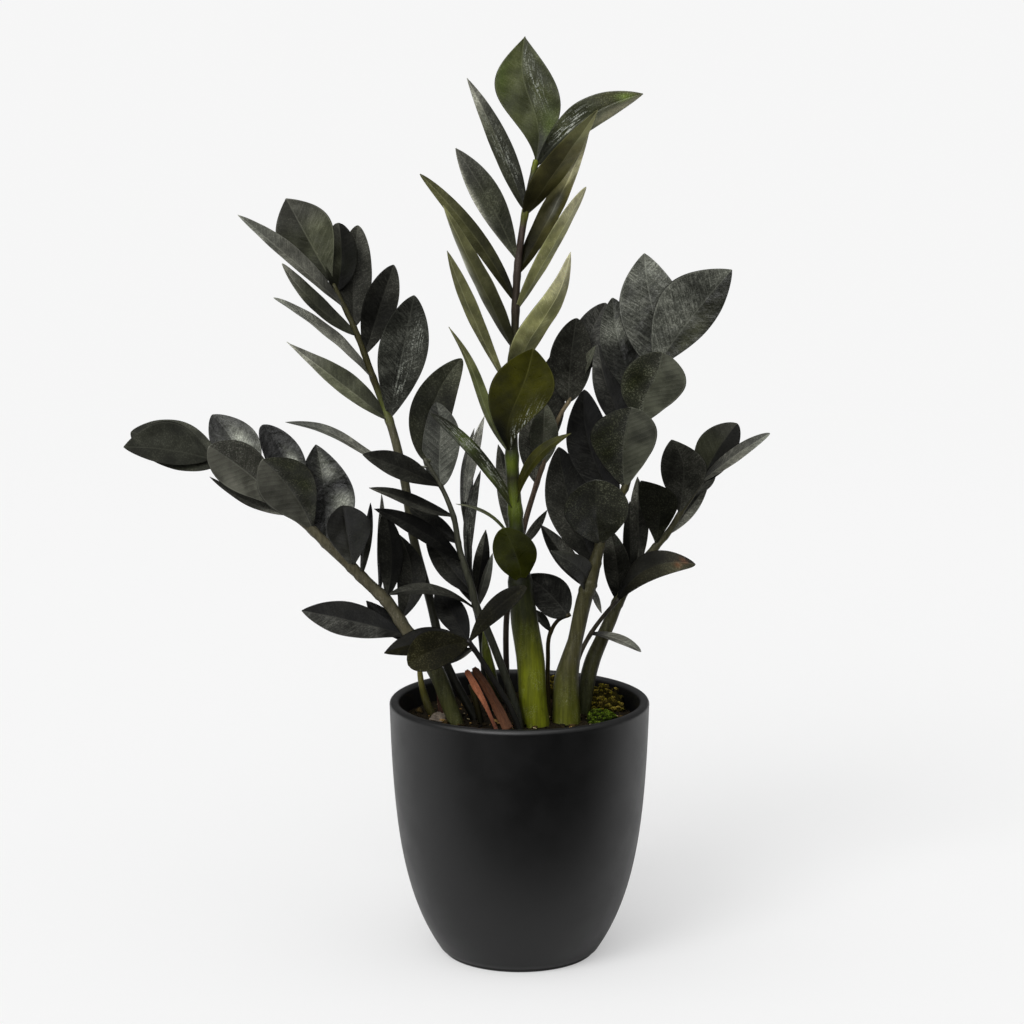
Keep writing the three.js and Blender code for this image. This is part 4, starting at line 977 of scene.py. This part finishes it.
def build_moss(shape, draw, moss):
    """A cushion of small tufts, each a cluster of grains. Grains that face up get painted light, and the
    core under the tufts gets painted shade.
    """
    at, half, high = np.array(moss["at"]), np.array(moss["half"]), moss["high"]
    tint = np.array(moss["tint"]) / 1000
    reach = POT_RIM_RADIUS - POT_WALL - 3 * GAP
    ground = MIX_TOP + GAP

    def top(x, y):
        """How high the cushion stands, which falls off towards its edge and the pot's wall."""
        d = math.hypot((x - at[0]) / half[0], (y - at[1]) / half[1])
        lump = 0.8 + 0.9 * unevenness(x, y, 0.13, high)
        by_wall = 0.4 + 0.6 * float(smooth(1, 9, reach - math.hypot(x, y)))
        return None if d > 1 else (high - 2.2) * (1 - d * d) ** 0.6 * min(lump, 1) * by_wall

    # A core closes the gaps between the tufts.
    rings, around = 9, 36
    points = [(*at, ground + top(*at))]
    for ring in range(1, rings + 1):
        for x, y in at + half * circle(around) * 0.93 * ring / rings:
            inward = min(1, (reach - 3) / math.hypot(x, y))
            x, y = x * inward, y * inward
            points.append((x, y, ground + (top(x, y) or 0) * (ring < rings)))
    faces = [[0, 1 + k, 1 + (k + 1) % around] for k in range(around)]
    faces += flipped(grid_faces(rings, around, first=1, closed=True))
    faces.append([1 + (rings - 1) * around + k for k in range(around)][::-1])
    # The core is painted dark, as shade under the tufts.
    shape.add(points, faces, tint * CUSHION_PAINTED_SHADE)

    for _ in range(int(half[0] * half[1] * TUFT_DENSITY)):
        x, y = at + half * spot_in_circle(draw)
        if math.hypot(x, y) > reach - 2.5 or top(x, y) is None:
            continue
        centre = np.array([x, y, ground + max(top(x, y), 0.6)])
        size, light, warm = draw.uniform(1.4, 2.8), draw.uniform(0.5, 1.6), draw.uniform()
        for _ in range(TUFT_GRAINS):
            out = unit(draw.normal(size=3) + 0.7 * UP)
            spot = centre + out * size * np.array([1, 1, 0.9])
            if math.hypot(spot[0], spot[1]) > reach - 0.8:
                continue
            spot[2] = max(spot[2], ground + 0.5)
            # Painted light: grains that face up are lighter, as if lit from above.
            painted_top_light = 0.25 + 1.1 * max(out[2], 0) ** 1.5
            shade = blend(tint, MOSS_STRAW, moss["straw"] * warm) * light * painted_top_light
            points = CORNERS * draw.uniform(0.8, 1.2, (12, 1)) * draw.uniform(0.35, 0.7) + spot
            shape.add(points, TRIANGLES, shade * draw.uniform(0.4, 1.8))


def build_sheet(shape, rows, columns, face, surface):
    """A closed thin sheet, of the place and tint that `surface` gives for each share of the way
    along it (0 to 1) and across it (-1 to 1)."""
    place = [(q, t, 0) for t in np.linspace(0, 1, rows) for q in np.linspace(-1, 1, columns)]
    middle, tints = (np.array(given) for given in zip(*(surface(t, q) for q, t, _ in place)))
    half = face * BLADE_THICK / 2
    points = np.concatenate([middle + half, middle - half])
    shape.add(points, slab_faces(rows, columns), np.tile(tints, (2, 1)), np.tile(place, (2, 1)))


STRIPS = {
    "dry_strip_1": {
        "wide": 7,
        "foot": 0.45,
        "points": [(-18, 182.9, -42), (-28, 206, -41), (-37, 223, -40), (-43, 234, -39)],
        "tints": ((0.130, 0.045, 0.025), (0.480, 0.170, 0.085), (0.300, 0.090, 0.040)),
    },
    "dry_strip_2": {
        "wide": 9,
        "foot": 1,
        "points": [(-9, 184.6, -38), (-18, 203, -37), (-27, 220, -36), (-37, 236, -35)],
        "tints": ((0.140, 0.060, 0.030), (0.085, 0.030, 0.012), (0.060, 0.022, 0.008)),
    },
}


def build_strip(shape, strip):
    route = Route([seen(p) for p in strip["points"]])
    low, mid, high = strip["tints"]

    def surface(t, q):
        side = unit(np.cross(route.along(t), FRONT))
        waist = strip["foot"] + (1 - strip["foot"]) * smooth(0.2, 0.6, t)
        half = strip["wide"] / 2 * waist * (1 - 0.35 * t) * (1 - 0.5 * smooth(0.94, 1, t))
        ridge = STRIP_RIDGE * (1 - abs(q)) + 0.12 * math.sin(9 * q + 3 * t)
        edge = 1 + 0.05 * math.sin(17 * t + 3 * q)
        tint = blend(blend(low, mid, smooth(0, 0.5, t)), high, smooth(0.8, 1, t))
        # Painted shade: the part to the right of the ridge is darker, with a faint swing across it.
        light = (1 - 0.25 * (q > 0.1)) * (1 + 0.1 * math.sin(14 * q + 5 * t))
        return route.at(t) + side * q * half * edge + FRONT * ridge, tint * light

    build_sheet(shape, 40, 13, FRONT, surface)


FLAKE = ((-7, -73, -58.6), (-1, -71.5, -59.6), (5, -69.5, -60), (11, -66.5, -61.5))
FLAKE_TINT = np.array((0.205, 0.168, 0.132))
SCRAP_TINT = np.array((0.040, 0.016, 0.009))


def build_flake(shape):
    """A grey papery flake, rolled up at its left edge. Its outline is (depth, left, right)."""
    depth, left, right = zip(*FLAKE)

    def surface(t, q):
        q = (q + 1) / 2
        y = depth[0] + (depth[-1] - depth[0]) * t
        west, east = np.interp(y, depth, left), np.interp(y, depth, right)
        x = west + (east - west) * q + 0.35 * math.sin(7 * t + 2 * q)
        lift = 1 + 2.2 * t + 1.6 * (1 - q) ** 2 + 0.3 * math.sin(8 * q + 5 * t)
        light = 0.85 + 0.2 * math.sin(11 * q + 3 * t) + 0.1 * math.sin(23 * t)
        return (x, y, MIX_TOP + lift), FLAKE_TINT * light

    build_sheet(shape, 21, 17, UP, surface)


def build_scrap(shape):
    """A curl of dried sheath that stands on the mix and leans left."""

    def surface(t, q):
        half = 3.4 * (1 - 0.5 * t) * (1 - 0.3 * smooth(0.85, 1, t))
        x = -63 + q * half - 3 * t
        y = 17 + 1.6 * q * q + 0.25 * math.sin(9 * t + 2 * q)
        z = MIX_TOP + GAP + 23 * t + 0.4 * math.sin(6 * q) * t
        return (x, y, z), SCRAP_TINT * (1 + 0.35 * math.sin(8 * q + 4 * t))

    build_sheet(shape, 25, 11, FRONT, surface)


# Materials. Noise scales are per metre.


class Wire:
    """One output of a node. What is reckoned from it becomes a node of its own."""

    def __init__(self, nodes, socket):
        self.nodes, self.socket = nodes, socket

    def math(self, operation, *values):
        return self.nodes.add("Math", dict(enumerate((self, *values))), operation=operation)

    def __abs__(self):
        return self.math("ABSOLUTE")

    def __add__(self, other):
        return self.math("ADD", other)

    def __mul__(self, other):
        return self.math("MULTIPLY", other)

    def ramp(self, low, high, start=0.0, end=1.0):
        words = {"From Min": low, "From Max": high, "To Min": start, "To Max": end}
        return self.nodes.add("MapRange", {"Value": self, **words}, interpolation_type="SMOOTHSTEP")

    def noise(self, scale, detail=2.0, rough=0.5):
        words = {"Scale": scale, "Detail": detail, "Roughness": rough}
        return self.nodes.add("TexNoise", {"Vector": self, **words})

    def scaled(self, factor):
        """A colour whose brightness is multiplied."""
        return self.nodes.add("VectorMath", {0: self, "Scale": factor}, operation="SCALE")

    def mixed(self, share, other):
        return self.nodes.mix(share, self, other)

    def greyed(self, share, blue=1):
        """A colour mixed with its own grey, which may be short of blue."""
        level = self.nodes.add("RGBToBW", {0: self})
        return self.mixed(share, self.nodes.add("CombineColor", {0: level, 1: level, 2: level * blue}))


class Nodes:
    """A node tree that grows by calls."""

    def __init__(self, tree):
        self.tree = tree

    def link(self, value, socket):
        if isinstance(value, Wire):
            self.tree.links.new(value.socket, socket)
        else:
            socket.default_value = value

    def add(self, kind, inputs=None, output=0, **settings):
        """Adds a node and gives one of its outputs."""
        made = self.tree.nodes.new("ShaderNode" + kind)
        for label, value in settings.items():
            setattr(made, label, value)
        for key, value in (inputs or {}).items():
            self.link(value, made.inputs[key])
        return Wire(self, made.outputs[output]) if made.outputs else None

    def mix(self, share, a, b):
        return self.add("Mix", {0: share, 6: a, 7: b}, output=2, data_type="RGBA")

    def vector(self, *parts):
        return self.add("CombineXYZ", dict(enumerate(parts)))

    def attribute(self, name, output="Color"):
        return self.add("Attribute", output=output, attribute_name=name)

    def parts(self, name):
        """The three numbers of a vector attribute."""
        vector = self.attribute(name, "Vector")
        return [self.add("SeparateXYZ", {0: vector}, output=k) for k in range(3)]

    def place(self, stretch=(1, 1, 1)):
        """Place on the object in metres, squeezed along each axis by `stretch`."""
        where = self.add("TexCoord", output="Object")
        return self.add("Mapping", {"Vector": where, "Scale": stretch})

    def along(self, vector, direction):
        """How far a vector reaches in a direction."""
        return self.add("VectorMath", {0: vector, 1: direction}, output=1, operation="DOT_PRODUCT")


class Paint(Nodes):
    """A material."""

    def __init__(self, name, **constants):
        self.material = bpy.data.materials.new(name)
        self.material.use_nodes = True
        super().__init__(self.material.node_tree)
        self.shader = self.tree.nodes["Principled BSDF"]
        for label, value in constants.items():
            self.shader.inputs[label.replace("_", " ")].default_value = value

    def finish(self, colour, roughness, relief, strength, distance):
        bump = self.add("Bump", {"Height": relief, "Strength": strength, "Distance": distance})
        for label, value in (("Base Color", colour), ("Roughness", roughness), ("Normal", bump)):
            self.link(value, self.shader.inputs[label])
        return self.material


POT_BLACKS = (0.0012, 0.0012, 0.0013, 1), (0.0024, 0.0024, 0.0025, 1)

# How bright each layer of a leaf is against its mean tint, and how plainly it covers.
DARK_SHARE = 0.6  # the green between streaks of painted sheen
# painted sheen: how bright its pale grey is against the mean tint
PAINTED_SHEEN_SHARE = 2.2
PALE_SHARE = 3.0
SPECK_SHARE = 6
VEIN_COVER, RIB_COVER, RIM_COVER, SPECK_COVER, DUST_COVER = 0.22, 0.3, 0.35, 0.85, 0.3
EDGE_LOSS = 0.75
VEIN_SHADING = 0.12  # painted light and shade on the side veins' relief: how much the tint swings from one side vein to the next
# the silver of the painted glints
GLINT_SILVER = (0.44, 0.46, 0.40, 1)
BLUE_SHARE = 0.85  # how much of its blue a leaf's grey keeps


def leaf_material(name, specular, rough_low, rough_high, blister=0.0):
    """Waxy leaflets. Around the mean tint, painted sheen lies in streaks that follow the side veins,
    over a darker green, with fine pale specks and silver painted glints; painted light and shade
    swings across each side vein. Midrib, side veins and margin are paler, and the very edge is
    dark. `blister` is how strongly the blade cockles between its veins."""
    paint = Paint(name, IOR=1.5, Specular_IOR_Level=specular)
    tint, veins = paint.attribute("tint"), paint.attribute("tint", "Alpha")
    across, spark, away = paint.parts("blade")
    vein, fleck, film = paint.parts("grain")
    q = abs(across)

    place = paint.place()
    cloud, broad, cockle = place.noise(55, 3), place.noise(90), place.noise(170)
    specks, fine = place.noise(850), place.noise(2200)
    drift = cloud * 1.6
    streaks = paint.vector(vein, away * 0.035, drift).noise(3.4, 5, 0.72)
    lines = paint.vector(vein * 0.45, away * 1.1, drift).noise(1, 3, 0.6)

    inner = q.ramp(0.02, 0.12) * q.ramp(0.97, 0.7) * veins
    on_vein = abs(vein.math("FRACT") + -0.5).ramp(0.42, 0.49) * inner
    on_rib, on_rim, at_edge = away.ramp(0.75, 0.3), q.ramp(0.925, 0.965), q.ramp(0.968, 0.982)
    # Painted light and shade: each side vein is lighter on one side and darker on the other.
    painted_vein_shade = (vein * (2 * math.pi)).math("SINE") * inner * VEIN_SHADING + 1
    speck = specks.ramp(0.52, 0.64) * cloud.ramp(0.38, 0.58, 0.3, 1) * fleck * SPECK_COVER
    dust = fine.ramp(0.66, 0.72) * DUST_COVER
    # Painted sheen: pale grey streaks along the side veins, where light catches the waxy blade.
    sheen_cover = streaks.ramp(0.42, 0.66) * broad.ramp(0.38, 0.62, 0.2, 1.2) * film
    # Painted glints: silver highlights in broken lines.
    painted_glint_cover = specks.ramp(0.42, 0.55) * lines.ramp(0.5, 0.6) * spark

    pale = tint.greyed(0.3, BLUE_SHARE)
    sheen_tint = tint.greyed(0.4, BLUE_SHARE).scaled(PAINTED_SHEEN_SHARE)
    colour = tint.scaled(film.ramp(0, 1, 1, DARK_SHARE)).mixed(sheen_cover, sheen_tint)
    colour = colour.scaled(cloud.ramp(0.3, 0.7, 0.6, 1.4)).scaled(painted_vein_shade)
    colour = colour.mixed(speck.math("MAXIMUM", dust), pale.scaled(SPECK_SHARE))
    for cover in (on_vein * VEIN_COVER, on_rib * RIB_COVER, on_rim * RIM_COVER):
        colour = colour.mixed(cover, pale.scaled(PALE_SHARE))
    colour = colour.mixed(painted_glint_cover, GLINT_SILVER).scaled(at_edge * -EDGE_LOSS + 1)

    relief = streaks * 0.9 + fine * 0.22 + specks * 0.35 + cockle * blister
    return paint.finish(colour, streaks.ramp(0.3, 0.7, rough_low, rough_high), relief, 0.6, 0.0005)


def stem_material():
    """Fleshy petioles with streaks along them and fine mottling."""
    paint = Paint("stem", IOR=1.45, Specular_IOR_Level=0.25)
    streaks = paint.place((1, 1, 0.06)).noise(420, 3, 0.6)
    mottle = paint.place((1, 1, 0.45)).noise(330, 4, 0.65)
    fine, patch = paint.place().noise(1300), paint.place().noise(70)
    colour = paint.attribute("tint").scaled(streaks.ramp(0.3, 0.72, 0.72, 1.32))
    colour = colour.mixed(mottle.ramp(0.52, 0.7, 0, 0.5), colour.scaled(0.45))
    speck = fine.ramp(0.5, 0.68) * patch.ramp(0.4, 0.6) * 0.5
    colour = colour.mixed(speck, colour.greyed(0.5).scaled(2.6))
    roughness = mottle.ramp(0.3, 0.7, 0.36, 0.52)
    return paint.finish(colour, roughness, streaks * 0.8 + fine, 0.35, 0.0004)


def pot_material():
    """Matt black glaze, faintly uneven."""
    paint = Paint("pot", IOR=1.5)
    cloud, fine = paint.place().noise(45, 3), paint.place().noise(1500, 3, 0.6)
    colour = paint.mix(cloud, *POT_BLACKS)
    roughness = cloud.ramp(0.3, 0.7, 0.38, 0.44) + fine.ramp(0.3, 0.7, -0.03, 0.03)
    return paint.finish(colour, roughness, fine, 0.12, 0.0003)


def rough_material(name, scale, spread, roughness, strength, distance, stretch=(1, 1, 1)):
    """A dull material in the mesh's own tints, with mottling at one scale."""
    paint = Paint(name, IOR=1.45, Specular_IOR_Level=0.1)
    place = paint.place(stretch)
    mottle, fine = place.noise(scale, 4, 0.65), place.noise(4 * scale)
    colour = paint.attribute("tint").scaled(mottle.ramp(0.3, 0.7, 1 - spread, 1 + spread))
    roughness = fine.ramp(0.3, 0.7, roughness - 0.08, roughness)
    return paint.finish(colour, roughness, mottle + fine, strength, distance)


def dry_material():
    """Dried sheath, with fibres along the strip."""
    paint = Paint("dry_sheath", IOR=1.45, Specular_IOR_Level=0.3)
    across, along, _ = paint.parts("blade")
    fibres = paint.vector(across, along * 0.6).noise(7, 4, 0.7)
    spots = paint.place().noise(420, 3)
    colour = paint.attribute("tint").scaled(fibres.ramp(0.3, 0.7, 0.66, 1.3))
    colour = colour.mixed(spots.ramp(0.56, 0.7, 0, 0.6), colour.scaled(0.55))
    return paint.finish(colour, spots.ramp(0.3, 0.7, 0.6, 0.78), fibres, 0.6, 0.0006)


# Floor, studio and camera.

PALE = 0.925
FLOOR_ALBEDO = 0.72  # as the plant is lit by it
FLOOR_SHADED = 0.5  # how much of the light on the floor shows to the camera
FLOOR_GLOW = 0.40
FLOOR_RADIUS = 30
FADE_FROM, FADE_TO = 1.4, 3.2  # metres over which the lit floor gives way to the pale ground
TABLE_EDGE = (-0.36, -0.08)  # where reflections of the floor end and begin to darken
TABLE_GLOW = 0.03  # how light they are at their darkest
BACK_LIGHT, FRONT_LIGHT, TOP_LIGHT = 0.22, 0.42, 0.35
DARK_HEADING = math.radians(13)  # to the right of the viewer's side, where the studio is darkest
DARK_WAY = Vector((math.sin(DARK_HEADING), -math.cos(DARK_HEADING), 0))
WHITE = (1, 1, 1, 1)


def build_floor():
    bpy.ops.mesh.primitive_circle_add(vertices=96, radius=FLOOR_RADIUS, fill_type="NGON")
    floor = bpy.context.object
    floor.name = "floor"
    paint = Paint("floor", Roughness=0.9, Specular_IOR_Level=0.0)
    paint.shader.inputs["Emission Color"].default_value = WHITE
    where = paint.add("TexCoord", output="Object")
    far = paint.add("VectorMath", {0: where}, output=1, operation="LENGTH").ramp(FADE_FROM, FADE_TO)
    straight = paint.add("LightPath", output="Is Camera Ray")
    lit = straight.math("MAXIMUM", paint.along(where, -DARK_WAY).ramp(*TABLE_EDGE, TABLE_GLOW, 1))
    albedo = paint.vector(FLOOR_ALBEDO, FLOOR_ALBEDO, FLOOR_ALBEDO).scaled(lit)
    colour = albedo.mixed(straight, (FLOOR_SHADED, FLOOR_SHADED, FLOOR_SHADED, 1))
    paint.link(colour, paint.shader.inputs["Base Color"])
    paint.link(straight * FLOOR_GLOW, paint.shader.inputs["Emission Strength"])
    near_part = Wire(paint, paint.shader.outputs[0])
    glow = paint.add("Emission", {"Strength": lit * PALE})
    joined = paint.add("MixShader", {0: far, 1: near_part, 2: glow})
    paint.link(joined, paint.tree.nodes["Material Output"].inputs["Surface"])
    floor.data.materials.append(paint.material)


def build_studio():
    """Pale surroundings that darken towards the viewer's side, as in a studio."""
    world = bpy.data.worlds.new("studio")
    bpy.context.scene.world = world
    world.use_nodes = True
    world.node_tree.nodes.clear()
    nodes = Nodes(world.node_tree)
    ray = nodes.add("TexCoord", output="Generated")
    height = nodes.add("SeparateXYZ", {0: ray}, output="Z")
    around = nodes.along(ray, DARK_WAY).ramp(-0.6, 0.6, BACK_LIGHT, FRONT_LIGHT)
    level = (around * height.ramp(0.05, 0.25, 0.3, 1)).math("MAXIMUM", height.ramp(0.5, 0.9, 0, TOP_LIGHT))
    studio = nodes.add("Background", {"Color": WHITE, "Strength": level})
    plain = nodes.add("Background", {"Color": (PALE, PALE, PALE, 1)})
    straight = nodes.add("LightPath", output="Is Camera Ray")
    nodes.add("OutputWorld", {"Surface": nodes.add("MixShader", {0: straight, 1: studio, 2: plain})})


def add_light(name, heading, height, spread, strength):
    """A soft distant light; heading in degrees to the right of the viewer's side, height above."""
    heading, height = math.radians(heading), math.radians(height)
    level = math.cos(height)
    way = Vector((math.sin(heading) * level, -math.cos(heading) * level, math.sin(height)))
    data = bpy.data.lights.new(name, "SUN")
    data.angle = math.radians(spread)
    data.energy = strength
    light = bpy.data.objects.new(name, data)
    light.location = way * 2
    light.rotation_euler = (-way).to_track_quat("-Z", "Y").to_euler()
    bpy.context.scene.collection.objects.link(light)


def build_camera():
    data = bpy.data.cameras.new("camera")
    data.sensor_width = SENSOR_WIDTH
    data.lens = FOCAL_PIXELS / IMAGE_PIXELS * SENSOR_WIDTH
    data.clip_start, data.clip_end = 0.05, 200
    camera = bpy.data.objects.new("camera", data)
    camera.location = EYE * MM
    camera.rotation_euler = (math.radians(90 - CAMERA_PITCH), 0, 0)
    bpy.context.scene.collection.objects.link(camera)
    bpy.context.scene.camera = camera


# Every node gets its own piece.

stem_paint = stem_material()
leaf_paints = {
    WAXY: leaf_material("leaf_face", 0.35, 0.26, 0.44),
    BACK: leaf_material("leaf_back", 0.2, 0.50, 0.62),
    SKIN: stem_paint,
    DULL: leaf_material("leaf_dull_face", 0.07, 0.3, 0.5),
    GLOSSY: leaf_material("leaf_glossy_face", 0.2, 0.2, 0.36, blister=4),
}
mix_paint = rough_material("potting_mix", 900, 0.45, 0.95, 0.7, 0.0007)
bark_paint = rough_material("bark", 700, 0.4, 0.9, 0.8, 0.0006, (1, 3, 1))
moss_paint = rough_material("moss", 1300, 0.35, 0.95, 0.5, 0.0004)
flake_paint = rough_material("papery_flake", 500, 0.3, 0.85, 0.5, 0.0004, (3, 1, 1))
dry_paint = dry_material()
draw = np.random.default_rng(SEED)


def dress(node, ending, slot, paints, build, *given):
    """Builds the piece that stands for a node."""
    shape = Shape()
    build(shape, *given)
    shape.piece(f"{node}_{ending}", node, paints)


def build_frond(shape, draw, stem):
    stem.build(shape, SKIN)
    for leaf in stem.leaflets:
        build_leaflet(shape, draw, stem, leaf)


dress("pot", "glazed", "pot", [pot_material()], build_pot)
dress("potting_mix", "crumbs", "potting_mix", [mix_paint], build_mix, draw)
for name, stem in FRONDS.items():
    slot = "olive_leaf" if name == "crown_frond" else "dark_leaf"
    dress(name, "grown", slot, leaf_paints.values(), build_frond, draw, stem)
for name, stem in SHOOTS.items():
    dress(name, "grown", "green_shoot", [stem_paint], stem.build)
for name, strip in STRIPS.items():
    dress(name, "fibrous", "dry_sheath", [dry_paint], build_strip, strip)
dress("papery_flake", "curled", "papery_flake", [flake_paint], build_flake)
dress("dried_scrap", "curled", "dry_sheath", [dry_paint], build_scrap)
for name, chip in CHIPS.items():
    dress(name, "split", "bark", [bark_paint], build_chip, draw, chip)
for name, moss in MOSS.items():
    dress(name, "tufted", "moss", [moss_paint], build_moss, draw, moss)

build_floor()
build_studio()
add_light("key", -35, 40, 28, 0.8)
add_light("fill", -20, 30, 50, 1.1)
add_light("top", -30, 72, 80, 1.3)
build_camera()
bpy.context.scene.view_settings.view_transform = "Standard"
